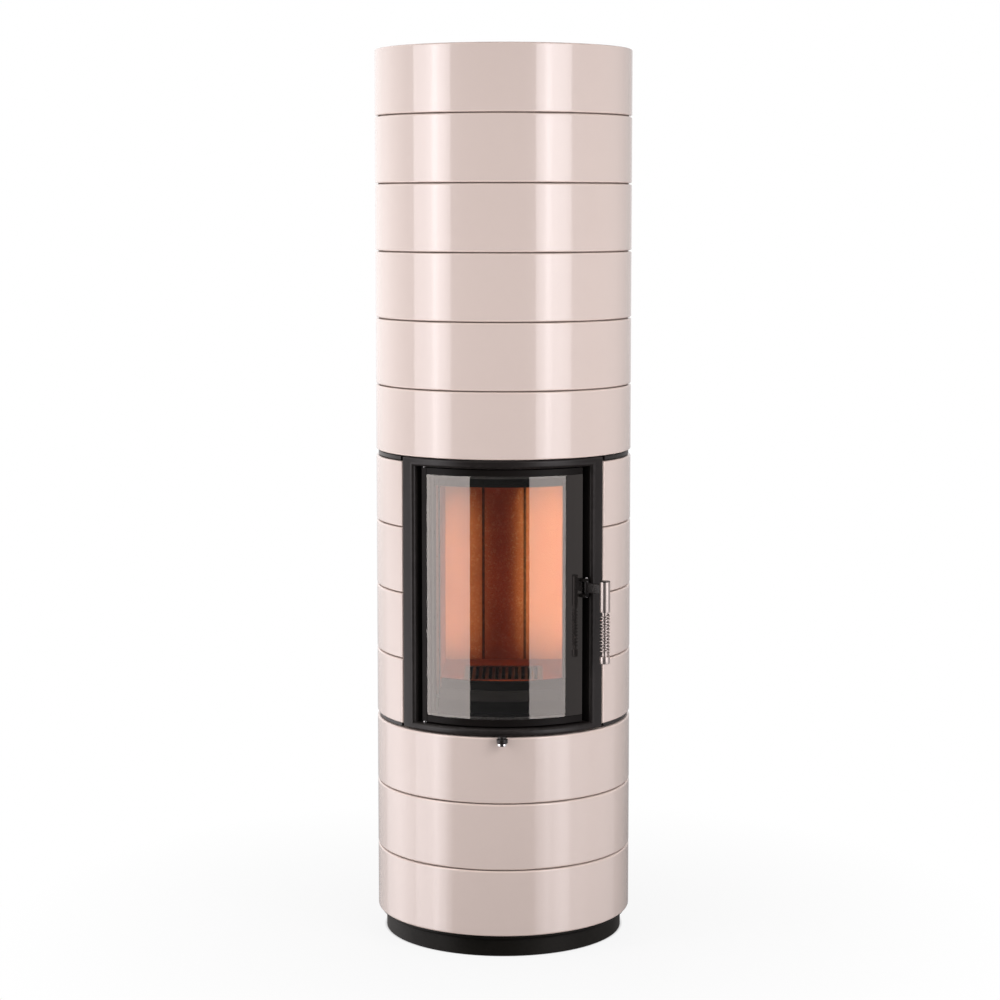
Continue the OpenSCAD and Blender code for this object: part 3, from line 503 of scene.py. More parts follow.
def group(name, inputs, build):
    """Shared effect as a node group with named inputs and outputs, built once. inputs gives
    their default values; the place on the surface is the first input and has none."""
    tree = bpy.data.node_groups.get(name)
    if tree:
        return tree
    tree = bpy.data.node_groups.new(name, "ShaderNodeTree")
    tree.interface.new_socket("Vector", in_out="INPUT", socket_type=VECTOR)
    for label, default in inputs.items():
        kind = FLOAT if isinstance(default, float) else COLOR if len(default) == 4 else VECTOR
        tree.interface.new_socket(label, in_out="INPUT", socket_type=kind).default_value = default
    made = build(Net(tree), tree.nodes.new("NodeGroupInput").outputs)
    for label, socket in made.items():
        kind = COLOR if socket.type == "RGBA" else FLOAT
        tree.interface.new_socket(label, in_out="OUTPUT", socket_type=kind)
    result = tree.nodes.new("NodeGroupOutput")
    for label, socket in made.items():
        tree.links.new(socket, result.inputs[label])
    return tree


def mottle_group():
    """Colour that drifts a little over the surface at two scales."""
    def build(net, given):
        wide = net.noise(given["Vector"], given["Scale"], 2.0)
        fine = net.noise(given["Vector"], net.times(given["Scale"], 14.0), 4.0)
        both = net.math("ADD", net.times(wide, 0.65), net.times(fine, 0.35))
        mask = net.span(both, 0.34, 0.66)
        return {"Color": net.mix(mask, given["Dark"], given["Light"]), "Mask": mask}
    return group("mottled_colour", {"Scale": 10.0, "Dark": (0, 0, 0, 1),
                                    "Light": (1, 1, 1, 1)}, build)


def edge_group():
    """Mask of the rounded edges, broken up by noise."""
    def build(net, given):
        edge = net.add("ShaderNodeAttribute", out="Fac", attribute_name="edge")
        broken = net.span(net.noise(given["Vector"], given["Scale"], 4.0, 0.6), 0.35, 0.65,
                          given["Least"], 1.0)
        mask = net.times(edge, broken)
        return {"Mask": net.times(mask, given["Amount"], clamp=True)}
    return group("edge_mask", {"Scale": 60.0, "Least": 0.2, "Amount": 1.0}, build)


def grain_group():
    """Height of a cast or pressed surface: fine grain with a few pits."""
    def build(net, given):
        grain = net.noise(given["Vector"], given["Scale"], 3.0, 0.6)
        pits = net.cells(given["Vector"], net.times(given["Scale"], 0.35))
        pit = net.span(pits, 0.0, 0.30, given["Pits"], 0.0)
        height = net.math("SUBTRACT", grain, pit)
        return {"Height": height, "Pit": pit}
    return group("surface_grain", {"Scale": 500.0, "Pits": 0.0}, build)


def brushed_group():
    """Fine lines of brushed or turned metal that run along one direction."""
    def build(net, given):
        lines = net.noise(net.stretched(given["Vector"], given["Stretch"]), 1.0, 3.0, 0.7)
        blotches = net.noise(given["Vector"], 35.0, 2.0)
        return {"Lines": lines, "Blotches": blotches}
    return group("brushed_lines", {"Stretch": (1, 1, 1)}, build)


def braid_group():
    """Height of crossing strands on rope and woven tape."""
    def build(net, given):
        heights = []
        for turn in (0.78, -0.78):
            tilted = net.add("ShaderNodeMapping", {"Vector": given["Vector"],
                                                   "Rotation": (0, turn, 0)})
            heights.append(net.add("ShaderNodeTexWave", {"Vector": tilted, "Scale": given["Scale"],
                                                         "Distortion": 0.6, "Detail": 1.0},
                                   out="Fac", bands_direction="X"))
        woven = net.math("MAXIMUM", heights[0], heights[1])
        fuzz = net.noise(given["Vector"], net.times(given["Scale"], 9.0), 3.0)
        height = net.math("ADD", woven, net.times(fuzz, 0.4))
        return {"Height": height, "Strand": woven}
    return group("crossing_strands", {"Scale": 150.0}, build)


def use(net, effect, out, place, **inputs):
    """Place a shared effect in a material, and give one or several of its outputs."""
    node = net.add("ShaderNodeGroup", {"Vector": place, **inputs}, node_tree=effect()).node
    found = [node.outputs[label] for label in out.split()]
    return found if len(found) > 1 else found[0]


def finish(name, build, wrap=None):
    """Material made once. build(net, place) gives the inputs of its Principled BSDF, and
    wrap(net, shader) may mix that with another shader."""
    made = bpy.data.materials.get(name + "_finish")
    if made:
        return made
    made = bpy.data.materials.new(name + "_finish")
    net = empty_net(made)
    place = net.add("ShaderNodeTexCoord", out="Object")
    shader = net.add("ShaderNodeBsdfPrincipled", build(net, place))
    net.add("ShaderNodeOutputMaterial", {"Surface": wrap(net, shader) if wrap else shader})
    return made


def bump(net, height, strength, depth):
    return net.add("ShaderNodeBump", {"Height": height, "Strength": strength, "Distance": depth})


def glazed_ceramic():
    """Glossy glaze, lighter on the rounded edges where it runs thin and where a highlight is painted, with faint
    waves and specks.
    """
    size = bpy.context.scene.stove_ceramic
    glaze, rim = tuple(size.glaze), tuple(size.rim)

    def build(net, place):
        body, mask = use(net, mottle_group, "Color Mask", place, Scale=2.5,
                         Dark=shade(glaze, 0.992), Light=shade(glaze, 1.008))
        # Mask of the rounded edges: the lighter rim colour there is thin glaze and a painted highlight
        thin = use(net, edge_group, "Mask", place, Scale=30.0, Least=0.7, Amount=0.8)
        speck = net.span(net.cells(place, 130.0), 0.02, 0.06, 0.35, 0.0)
        tone = net.mix(thin, body, rim)
        tone = net.mix(speck, tone, (0.42, 0.31, 0.26, 1))
        wave = net.noise(place, 7.0, 0.0)
        peel = net.noise(place, 160.0, 0.0)
        height = net.math("ADD", wave, net.times(peel, 0.0015))
        return {"Base Color": tone,
                "Roughness": net.span(mask, 0, 1, 0.25, 0.27),
                "Specular IOR Level": 0.3,
                "Coat Weight": 1.0, "Coat Roughness": size.gloss, "Coat IOR": 1.5,
                "Normal": bump(net, height, 1.0, 0.35 * MM)}
    return finish("glazed_ceramic", build)


# Paints over cast iron and sheet steel: colour, roughness over that of the cast frame, scale and
# depth of the grain, pits, wear of the edges and level of the shine
PAINTS = {
    "black_cast_iron": dict(grain=700.0, depth=0.10 * MM, pits=0.35, wear=0.3, shine=0.21),
    # Darker, duller copy of the cast iron paint for the door leaf and its strips: painted shade on the door, which
    # sits back in the frame
    "door_cast_iron": dict(tone=(0.0080, 0.0067, 0.0061), rougher=0.04, grain=700.0,
                           depth=0.10 * MM, pits=0.35, wear=0.3, shine=0.06),
    "black_steel": dict(rougher=-0.04, grain=1100.0, wear=0.7, shine=0.30),
    "carrier_steel": dict(tone=(0.021, 0.018, 0.016), rougher=0.08, shine=0.15),
    # Darkest, dullest paint, for the ash pan, the front flange and the log guard
    "sooty_steel": dict(tone=(0.0042, 0.0038, 0.0034), rougher=0.28, wear=0.2, shine=0.03),
    # Darker, duller paint for the plinth and base plate: painted shade under the overhanging rings
    "base_steel": dict(tone=(0.0085, 0.0078, 0.0062), rougher=0.11, shine=0.10),
}


def stove_paint(name, tone=None, rougher=0.0, grain=900.0, depth=0.05 * MM, pits=0.0, wear=0.5,
                shine=0.30):
    """Stove paint, rubbed on the edges and smudged by hands."""
    size = bpy.context.scene.stove_cast
    tone, worn, roughness = tone or tuple(size.paint), tuple(size.worn), size.sheen + rougher

    def build(net, place):
        paint = use(net, mottle_group, "Color", place, Scale=9.0, Dark=shade(tone, 0.8),
                    Light=shade(tone, 1.25))
        rubbed = use(net, edge_group, "Mask", place, Scale=90.0, Least=0.0, Amount=wear)
        height = use(net, grain_group, "Height", place, Scale=grain, Pits=pits)
        smudge = net.noise(place, 14.0, 4.0, 0.6)
        return {"Base Color": net.mix(rubbed, paint, worn),
                "Roughness": net.span(smudge, 0.3, 0.7, roughness - 0.05, roughness + 0.06),
                "Specular IOR Level": shine,
                "Normal": bump(net, height, 0.5, depth)}
    return finish(name, build)


# Bare metals: colour, roughness, stretch of the brushed lines, spread of the roughness over them
# and how much darker they are
METALS = {
    "handle_steel": dict(roughness=0.36, stretch=(260, 260, 2600), spread=0.08),
    "bright_steel": dict(tone=(0.72, 0.71, 0.70, 1), roughness=0.16, stretch=(400, 400, 2200),
                         spread=0.08),
    "sheet_steel": dict(tone=(0.33, 0.33, 0.34, 1), roughness=0.34, stretch=(18, 18, 300),
                        spread=0.14, dull=0.7),
}


def metal(name, roughness, stretch, spread, tone=None, dull=0.82):
    """Brushed or turned bare metal."""
    tone = tone or tuple(bpy.context.scene.stove_grip.steel)

    def build(net, place):
        lines, blotches = use(net, brushed_group, "Lines Blotches", place, Stretch=stretch)
        brushed = net.mix(net.span(lines, 0.3, 0.7), shade(tone, dull), tone)
        brushed = net.mix(net.span(blotches, 0.4, 0.75, 0.0, 0.25), brushed, shade(tone, 0.7))
        return {"Base Color": brushed, "Metallic": 1.0,
                "Roughness": net.span(lines, 0.3, 0.7, roughness, roughness + spread),
                "Normal": bump(net, lines, 0.25, 0.02 * MM)}
    return finish(name, build)


# Bricks: the two colours of the body, the grog, the pores, the soot and the colour of the rounded corners; the
# fireclay's dark corners are painted shade in the joints between the bricks
BRICKS = {
    "fireclay": dict(dark=(0.33, 0.098, 0.050, 1), light=(0.39, 0.122, 0.064, 1),
                     speck=(0.60, 0.36, 0.22, 1), pore=0.8, soot=0.55,
                     corner=(0.035, 0.013, 0.010, 1)),
    "vermiculite": dict(dark=(0.42, 0.33, 0.20, 1), light=(0.58, 0.47, 0.31, 1),
                        speck=(0.75, 0.62, 0.38, 1), pore=1.0, soot=0.5),
    "storage_brick": dict(dark=(0.36, 0.32, 0.27, 1), light=(0.47, 0.42, 0.36, 1),
                          speck=(0.22, 0.20, 0.18, 1), pore=0.9),
}


def brick(name, dark, light, speck, pore, soot=0.0, corner=None):
    """Fired clay or pressed granulate with grog, pores and some soot."""
    def build(net, place):
        tone = use(net, mottle_group, "Color", place, Scale=16.0, Dark=dark, Light=light)
        grey = net.add("ShaderNodeSeparateColor", {"Color": net.cells(place, 330.0, "Color")})
        spots = net.span(grey, 0.80, 0.92)
        tone = net.mix(net.times(spots, 0.25 if soot else 0.55), tone, speck)
        height, pit = use(net, grain_group, "Height Pit", place, Scale=420.0, Pits=pore)
        # Pits take a darker shade of the body colour: painted shade in the pores
        tone = net.mix(net.times(pit, 0.6, clamp=True), tone, shade(dark, 0.35))
        if soot:
            licks = net.noise(net.stretched(place, (5.0, 5.0, 1.2)), 1.0, 3.0, 0.5)
            tone = net.mix(net.span(licks, 0.4, 0.75, 0.0, soot), tone, (0.035, 0.020, 0.016, 1))
        # Rounded edges take the corner colour, or else the light colour; the fireclay's dark corner colour is
        # painted shade in the joints between the bricks
        edge = use(net, edge_group, "Mask", place, Scale=80.0, Least=0.75 if corner else 0.3,
                   Amount=1.0 if corner else 0.5)
        tone = net.mix(edge, tone, corner or light)
        return {"Base Color": tone, "Roughness": net.span(pit, 0, 1, 0.86, 0.96),
                "Specular IOR Level": 0.25, "Normal": bump(net, height, 0.7, 0.5 * MM)}
    return finish(name, build)


# Rope, tape and strip: dark colour in the hollows between the strands (painted shade) and light colour on their
# tops, and the scale of the crossing
FIBRES = {
    "rope_seal": dict(dark=(0.018, 0.017, 0.016, 1), light=(0.085, 0.080, 0.075, 1), scale=130.0),
    "fibre_strip": dict(dark=(0.13, 0.10, 0.085, 1), light=(0.26, 0.205, 0.175, 1), scale=260.0),
}


def fibre(name, dark, light, scale):
    """Rope, tape or strip of mineral fibre with crossing strands."""
    def build(net, place):
        height, strand = use(net, braid_group, "Height Strand", place, Scale=scale)
        # Darker in the hollows between strands, lighter on their tops: painted shade
        tone = net.mix(strand, dark, light)
        ash = net.noise(place, 45.0, 3.0)
        tone = net.mix(net.span(ash, 0.5, 0.8, 0.0, 0.4), tone, (0.16, 0.15, 0.14, 1))
        return {"Base Color": tone, "Roughness": 0.95, "Specular IOR Level": 0.15,
                "Normal": bump(net, height, 0.8, 0.5 * MM)}
    return finish(name, build)


def clear_glass():
    """Clear ceramic glass. Lamps shine through it, so that the chamber behind is lit."""
    def build(net, place):
        haze = net.noise(net.stretched(place, (14, 14, 5)), 1.0, 4.0, 0.6)
        warm = net.mix(net.span(haze, 0.45, 0.75), (0.985, 0.985, 0.98, 1), (0.94, 0.925, 0.90, 1))
        return {"Base Color": warm, "Roughness": net.span(haze, 0.4, 0.8, 0.0, 0.035),
                "Metallic": 0.0, "IOR": 1.52, "Transmission Weight": 1.0,
                "Normal": bump(net, net.noise(place, 7.0, 1.0), 0.2, 0.5 * MM)}

    def let_through(net, shader):
        open_way = net.add("ShaderNodeBsdfTransparent", {"Color": (0.62, 0.62, 0.61, 1)})
        rays = net.rays()
        lit = net.math("MAXIMUM", rays["Is Shadow Ray"], rays["Is Diffuse Ray"])
        return net.blend(lit, shader, open_way)
    return finish("door_glass", build, let_through)


def printed_border():
    """Black print under the glossy face of the pane."""
    def build(net, place):
        grit = net.noise(place, 900.0, 2.0)
        tone = net.mix(net.span(grit, 0.3, 0.7), (0.006, 0.006, 0.006, 1),
                       (0.010, 0.009, 0.009, 1))
        smear = net.noise(net.stretched(place, (30, 30, 9)), 1.0, 3.0)
        return {"Base Color": tone, "Roughness": net.span(smear, 0.4, 0.7, 0.03, 0.06),
                "Specular IOR Level": 0.5}
    return finish("printed_border", build)


def finish_of(name):
    """Material of a finish, by its name."""
    for table, make in ((PAINTS, stove_paint), (METALS, metal), (BRICKS, brick), (FIBRES, fibre)):
        if name in table:
            return make(name, **table[name])
    return {"glazed_ceramic": glazed_ceramic, "door_glass": clear_glass,
            "printed_border": printed_border}[name]()


# Pieces
def glazed_ring(node):
    """One ceramic ring, turned, with rounded outer edges; the top one has a ledge inside."""
    size = bpy.context.scene.stove_ceramic
    z0, z1 = span(node)
    inner = RING_R - size.wall
    section = [(inner, z0), (RING_R, z0), (RING_R, z1), (inner, z1)]
    if node == UPPER_RINGS[-1]:
        ledge_z = span("top_cover")[0]
        section += [(inner, ledge_z), (inner - size.ledge, ledge_z),
                    (inner - size.ledge, ledge_z - size.ledge), (inner, ledge_z - 2 * size.ledge)]
    bm = turned(section, RING_COUNT, rounded=[(1, size.rounding), (2, size.rounding)], segments=5)
    hold = size.rounding * HOLD
    slice_at(bm, "Z", [z0 + hold, z1 - hold])
    if node == SPIGOT_RING:
        slice_at(bm, "Z", steps(z0 + hold, z1 - hold, 12 * MM))
    return bm


class STOVE_OT_rings(bpy.types.Operator):
    """Turn the nine glazed rings under and over the door"""
    bl_idname = "stove.rings"
    bl_label = "Glazed rings"

    def execute(self, context):
        size = context.scene.stove_ceramic
        for node in LOWER_RINGS + UPPER_RINGS:
            ring = glazed_ring(node)
            if node == SPIGOT_RING:
                low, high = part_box("air_spigot")
                hole = new_shape()
                bmesh.ops.create_cone(
                    hole, cap_ends=True, segments=64, radius1=size.spigot_hole,
                    radius2=size.spigot_hole, depth=0.3,
                    matrix=Matrix.Translation((0, RING_R, (low.z + high.z) / 2))
                    @ Matrix.Rotation(math.pi / 2, 4, "X"))
                ring = carved(ring, hole)
            piece("glazed_" + node, ring, "stove", "glazed_ceramic", node)
        return {"FINISHED"}


class STOVE_OT_side_tiles(bpy.types.Operator):
    """Bend the four rows of glazed tiles that flank the door"""
    bl_idname = "stove.side_tiles"
    bl_label = "Side tiles"

    def execute(self, context):
        size = context.scene.stove_ceramic
        for node in SIDE_ROWS:
            z0, z1 = span(node)
            halves = [curved_block(RING_R - size.wall, RING_R, z0, z1, side * TILES[0],
                                   side * TILES[1], size.rounding, 4, 1.9) for side in (1, -1)]
            piece("glazed_" + node, join(*halves), "stove", "glazed_ceramic", node)
        return {"FINISHED"}


class STOVE_OT_surround(bpy.types.Operator):
    """Bend the cast frame round the door, with its rounded bead"""
    bl_idname = "stove.surround"
    bl_label = "Surround frame"

    def execute(self, context):
        size = context.scene.stove_cast
        wall = context.scene.stove_ceramic.wall
        z0, z1 = span("surround_frame")
        bead = curved_frame(RING_R - wall, RING_R, (-SURROUND, SURROUND, z0, z1),
                            (-DOORWAY, DOORWAY, z0 + SILL, z1 - LINTEL), size.rim, 6, 1.5,
                            inner=size.bead)
        piece("cast_surround", bead, "stove", "black_cast_iron", "surround_frame")
        return {"FINISHED"}


def pin(at, z0, z1, radius=PIN_R, chamfer=0.6 * MM):
    """Upright pin with rounded ends."""
    return drum(0, radius, z0, z1, at, chamfer, chamfer)


def hinge_holes(z0, z1):
    """Shapes of the two holes that the hinge pins stand in."""
    deep, out = HINGE_GRIP + 0.3 * MM, 2 * MM
    return [pin(HINGE, a, b, PIN_HOLE_R, 0.05 * MM)
            for a, b in ((z0 - out, z0 + deep), (z1 - deep, z1 + out))]


class STOVE_OT_door(bpy.types.Operator):
    """Build the curved door leaf with its rebate, latch lugs and glass retainers"""
    bl_idname = "stove.door"
    bl_label = "Door leaf"

    def execute(self, context):
        edge = context.scene.stove_cast.leaf_edge
        z0, z1 = span("door_frame")
        glass0, glass1 = span("door_glass")
        # Radii of the leaf's face, the glass seat, the leaf's back and the ledges
        face, seat, back, rebate = PANE_R, PANE_R - SEAT, PANE_R - 18.5 * MM, PANE_R - 3 * MM
        # How far the leaf reaches behind the glass, and the play beside the glass in degrees
        lap, play = 5 * MM, 0.06
        # Where the notch for the latch starts, in degrees, and its depth
        notch_from, notch_deep = 38.0, 4.2 * MM
        leaf = curved_frame(back, seat, (-LEAF, LEAF, z0, z1),
                            (WINDOW[0], WINDOW[1], glass0 + lap, glass1 - lap), edge, 3)
        stile = curved_block(seat, face, z0, z1, -LEAF, PANE[0] - play, edge, 3)
        notch = curved_block(back - 2 * MM, back + notch_deep, LUGS[0] + LUG_T, LUGS[1],
                             notch_from, LEAF + 0.5, 0.2 * MM, 1)
        leaf = carved(leaf, notch, *hinge_holes(z0, z1))
        stile = carved(stile, *hinge_holes(z0, z1))
        ledges = [curved_block(seat, rebate, a, b, PANE[0] - play, LEAF, 0.4 * MM, 2)
                  for a, b in ((z0, glass0 - 0.1 * MM), (glass1 + 0.1 * MM, z1))]
        lugs = []
        for low in LUGS:
            high = low + LUG_T
            lugs.append(drum(0, LUG_R, low, high, PIVOT, 0.8 * MM, 0.8 * MM))
            web = block(-LUG_R, LUG_R, -WEB_LENGTH, 0, low + 0.4 * MM, high - 0.4 * MM)
            lugs.append(placed(web, math.radians(WEB_TURN), PIVOT))
        # The leaf and the strips take the darker door paint: painted shade on the recessed door
        piece("cast_door_leaf", join(leaf, stile, *ledges, *lugs), "door", "black_cast_iron",
              "door_frame", finishes=["door_cast_iron"])
        strips = [curved_block(rebate + 0.05 * MM, face, a, b, PANE[0], PANE[1] - 0.1, 0.8 * MM, 3)
                  for a, b in ((z0, glass0 - 0.5 * MM), (glass1 + 0.5 * MM, z1))]
        piece("retaining_strips", join(*strips), "door", "black_steel", "glass_retainers",
              finishes=["door_cast_iron"])
        return {"FINISHED"}


class STOVE_OT_pane(bpy.types.Operator):
    """Bend the glass pane with its printed border, the tape behind it and the rope seal"""
    bl_idname = "stove.pane"
    bl_label = "Pane and seals"

    def execute(self, context):
        z0, z1 = span("door_glass")
        pane = curved_block(PANE_R - GLASS_T, PANE_R, z0, z1, PANE[0], PANE[1], 0.7 * MM, 2,
                            1.6, all_edges=True)
        normal = on_ring(1, WINDOW[1] + 90)
        slice_plane(pane, (0, 0, 0), normal)
        for face in pane.faces:
            face.material_index = int(face.calc_center_median().dot(normal) > 0)
        piece("curved_pane", pane, "door", "door_glass", "door_glass",
              finishes=["door_glass", "printed_border"])
        low, high = span("glass_seal")
        width, seal_width = 5.2 * MM, 8 * MM
        tape = curved_frame(PANE_R - SEAT, PANE_R - GLASS_T, (PANE[0], PANE[1] - 0.3, low, high),
                            (WINDOW[0] + 0.1, WINDOW[1] - 0.1, low + width, high - width),
                            0.4 * MM, 2)
        piece("glass_tape", tape, "door", "rope_seal", "glass_seal")
        low, high = span("door_seal")
        rope = curved_frame(*SEAL_R, (-SEAL, SEAL, low, high),
                            (-SEAL_OPENING, SEAL_OPENING, low + seal_width, high - seal_width),
                            2.2 * MM, 4, both=True)
        piece("rope_loop", rope, "door", "rope_seal", "door_seal")
        return {"FINISHED"}


class STOVE_OT_hinges(bpy.types.Operator):
    """Turn the hinge pins and their washer"""
    bl_idname = "stove.hinges"
    bl_label = "Hinge pins"

    def execute(self, context):
        z0, z1 = span("hinge_pins")
        leaf0, leaf1 = span("door_frame")
        low = pin(HINGE, z0, leaf0 + HINGE_GRIP)
        high = pin(HINGE, leaf1 - HINGE_GRIP, z1)
        washer_r, soft = 5 * MM, 0.4 * MM
        washer = drum(PIN_HOLE_R, washer_r, leaf0 - 3 * MM, leaf0 - 0.1 * MM, HINGE, soft, soft)
        piece("turned_hinge_pins", join(low, high, washer), "stove", "bright_steel", "hinge_pins")
        return {"FINISHED"}


def upright_bar(start, end, thick, z0, z1, rounding):
    """Flat bar between two upright axes, with rounded long edges."""
    way = (end - start).to_2d()
    bm = block(0, way.length, -thick / 2, thick / 2, z0, z1)
    round_edges(bm, [e for e in bm.edges
                     if abs(e.verts[0].co.x - e.verts[1].co.x) > NEAR], rounding, 3)
    return placed(bm, math.atan2(way.y, way.x), start)


class STOVE_OT_latch(bpy.types.Operator):
    """Build the latch: hub, arm to the grip, nose, and the pin that it turns on"""
    bl_idname = "stove.latch"
    bl_label = "Latch"

    def execute(self, context):
        z0, z1 = span("latch_lever")
        # Steps from the hub's ends to the arm's and on to the nose's, and both thicknesses
        step, nose_step, thick, nose_thick = 2.5 * MM, 3 * MM, 8 * MM, 5 * MM
        arm0, arm1 = z0 + step, z1 - step
        hub = drum(PIN_HOLE_R, LUG_R, z0, z1, PIVOT, 0.8 * MM, 0.8 * MM, 48)
        to_grip = (GRIP - PIVOT).to_2d()
        start = PIVOT.to_2d() + to_grip.normalized() * 4 * MM
        end = GRIP.to_2d() - to_grip.normalized() * 9 * MM
        arm = upright_bar(start, end, thick, arm0, arm1, 1.6 * MM)
        nose_turn = 1.5
        heading = math.radians(90 + PIVOT_BEARING + nose_turn)
        nose_way = Vector((math.cos(heading), math.sin(heading)))
        nose = upright_bar(PIVOT.to_2d() + nose_way * 4 * MM, PIVOT.to_2d() + nose_way * 18.5 * MM,
                           nose_thick, arm0 + nose_step, arm1 - nose_step, 1.0 * MM)
        piece("latch_arm", join(hub, arm, nose), "latch", "black_steel", "latch_lever")
        screw = pin(PIVOT, *span("latch_pin"), chamfer=0.8 * MM)
        piece("latch_screw", screw, "door", "bright_steel", "latch_pin")
        return {"FINISHED"}


def wire_route(turns, radius, rise, thick, bend_r):
    """Centre line of the wound wire: up out of the end piece, round and up, and in again."""
    slope = math.atan((rise - 2 * (thick + bend_r)) / (turns * 2 * math.pi * radius))
    quarter = [(math.pi / 2 - slope) * k / 6 for k in range(7)]
    foot = [(0, 0)] + [(bend_r * (1 - math.cos(a)), thick + bend_r * math.sin(a)) for a in quarter]
    wound = (rise - 2 * foot[-1][1]) / math.tan(slope)
    count = turns * 24
    middle = [(foot[-1][0] + wound * k / count, foot[-1][1] + wound * k / count * math.tan(slope))
              for k in range(1, count)]
    end = 2 * foot[-1][0] + wound
    return foot + middle + [(end - along, rise - up) for along, up in reversed(foot)]


class STOVE_OT_grip(bpy.types.Operator):
    """Turn the grip with its smooth sleeve, wind the wire round it and put the cap on"""
    bl_idname = "stove.grip"
    bl_label = "Grip"

    def execute(self, context):
        size = context.scene.stove_grip
        foot, top = span("handle_rod")
        coil0, coil1 = span("handle_coil")
        rod = turned([(0, foot), (GRIP_R, foot), (GRIP_R, coil0), (size.core, coil0),
                      (size.core, coil1), (GRIP_R, coil1), (GRIP_R, top), (0, top)], 64, GRIP,
                     ((1, 1.2 * MM), (2, 0.7 * MM), (5, 0.7 * MM)))
        piece("grip_rod", rod, "latch", "handle_steel", "handle_rod")
        cap = drum(0, GRIP_R, *span("handle_cap"), GRIP, high=1.0 * MM, count=64)
        piece("grip_cap", cap, "latch", "black_steel", "handle_cap")

        curve = bpy.data.curves.new("wound_wire", "CURVE")
        curve.dimensions = "3D"
        curve.bevel_depth, curve.bevel_resolution, curve.use_fill_caps = size.wire / 2, 3, True
        radius = GRIP_R - size.wire / 2 - 0.2 * MM
        bend_r = 3.5 * MM
        route = wire_route(size.turns, radius, coil1 - coil0, size.wire, bend_r)
        line = curve.splines.new("POLY")
        line.points.add(len(route) - 1)
        for point, (along, up) in zip(line.points, route):
            turn = along / radius
            point.co = (GRIP.x + radius * math.cos(turn), GRIP.y + radius * math.sin(turn),
                        coil0 + up, 1)
        line.use_smooth = True
        curve.materials.append(finish_of("handle_steel"))
        settle(in_scene("wound_wire", curve), "latch", ["handle_coil"])
        return {"FINISHED"}


class STOVE_OT_air_control(bpy.types.Operator):
    """Turn the knob under the door: steel tip, and a dark collar, neck and cap over the lever; the dark collar is
    painted reflection of the black frame above.
    """
    bl_idname = "stove.air_control"
    bl_label = "Air knob"

    def execute(self, context):
        low, high = span("air_knob")
        lever_t = 2.5 * MM
        lever0, lever1 = span("air_lever")[1] - lever_t, span("air_lever")[1]
        # Radii of tip, collar, neck and cap, and the heights where the tip and the slope end
        tip, wide, neck, crown = 11 * MM, 12.5 * MM, 3.1 * MM, 9.5 * MM
        tip_end = low + 0.38 * (lever0 - low)
        collar = low + 0.46 * (lever0 - low)
        bright = drum(0, tip, low, tip_end, KNOB, 1.5 * MM, 0.4 * MM, 64)
        # The dark part stands for the steel knob's reflection of the black frame over it: painted reflection
        dark = turned([(0, tip_end), (tip - 0.5 * MM, tip_end), (wide, collar), (wide, lever0),
                       (neck, lever0), (neck, lever1), (crown, lever1), (crown, high), (0, high)],
                      64, KNOB, ((2, 0.6 * MM), (3, 1.0 * MM), (7, 1.0 * MM)))
        for face in dark.faces:
            face.material_index = 1
        piece("air_knob_turned", join(bright, dark), "air_register", "bright_steel", "air_knob",
              finishes=["bright_steel", "black_steel"])
        return {"FINISHED"}


class STOVE_OT_hearth(bpy.types.Operator):
    """Cut the lining bricks with bevelled joints and round the log guard's edges"""
    bl_idname = "stove.hearth"
    bl_label = "Chamber"

    def execute(self, context):
        for node in LININGS:
            low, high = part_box(node)
            bm = block(low.x, high.x, low.y, high.y, low.z, high.z)
            front = [e for e in bm.edges if abs(e.verts[0].co.z - e.verts[1].co.z) > NEAR
                     and abs(e.verts[0].co.y - low.y) < NEAR]
            round_edges(bm, front, BRICK_EDGE, 2)
            piece("brick_" + node, bm, "stove", "fireclay", node)
        low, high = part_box("log_guard")
        half = math.degrees(math.asin(high.x / -low.y))
        guard_t = 8 * MM
        guard = curved_block(-low.y - guard_t, -low.y, low.z, high.z, -half, half, 2 * MM, 4, 2.5,
                             all_edges=True)
        piece("cast_log_guard", guard, "stove", "black_cast_iron", "log_guard",
              finishes=["sooty_steel"])
        return {"FINISHED"}


class STOVE_OT_joints(bpy.types.Operator):
    """Lay the strips that fill the joints between rings and tiles"""
    bl_idname = "stove.joints"
    bl_label = "Joint strips"

    def execute(self, context):
        inner, outer, soft = RING_R - 24 * MM, RING_R - 7 * MM, 0.9 * MM
        strips = []
        for rings in (LOWER_RINGS, UPPER_RINGS):
            for below, above in zip(rings, rings[1:]):
                z0, z1 = span(below)[1], span(above)[0]
                strips.append(drum(inner, outer, z0, z1, (0, 0), soft, soft, 128, 2))
        for below, above in zip(SIDE_ROWS, SIDE_ROWS[1:]):
            z0, z1 = span(below)[1], span(above)[0]
            strips += [curved_block(inner, outer, z0, z1, side * TILES[0], side * TILES[1], soft,
                                    2, 2.5) for side in (1, -1)]
        piece("joint_strips", join(*strips), "stove", "fibre_strip", "ring_seam_strips")
        return {"FINISHED"}


class STOVE_OT_studio(bpy.types.Operator):
    """Set up the floor, the lights, the background and the camera"""
    bl_idname = "stove.studio"
    bl_label = "Studio"

    def execute(self, context):
        scene = context.scene
        size = scene.stove_studio
        make_floor()
        make_world(size.ambient)
        make_lights(size)
        aim_camera(size)
        scene.view_settings.view_transform = "Standard"
        return {"FINISHED"}


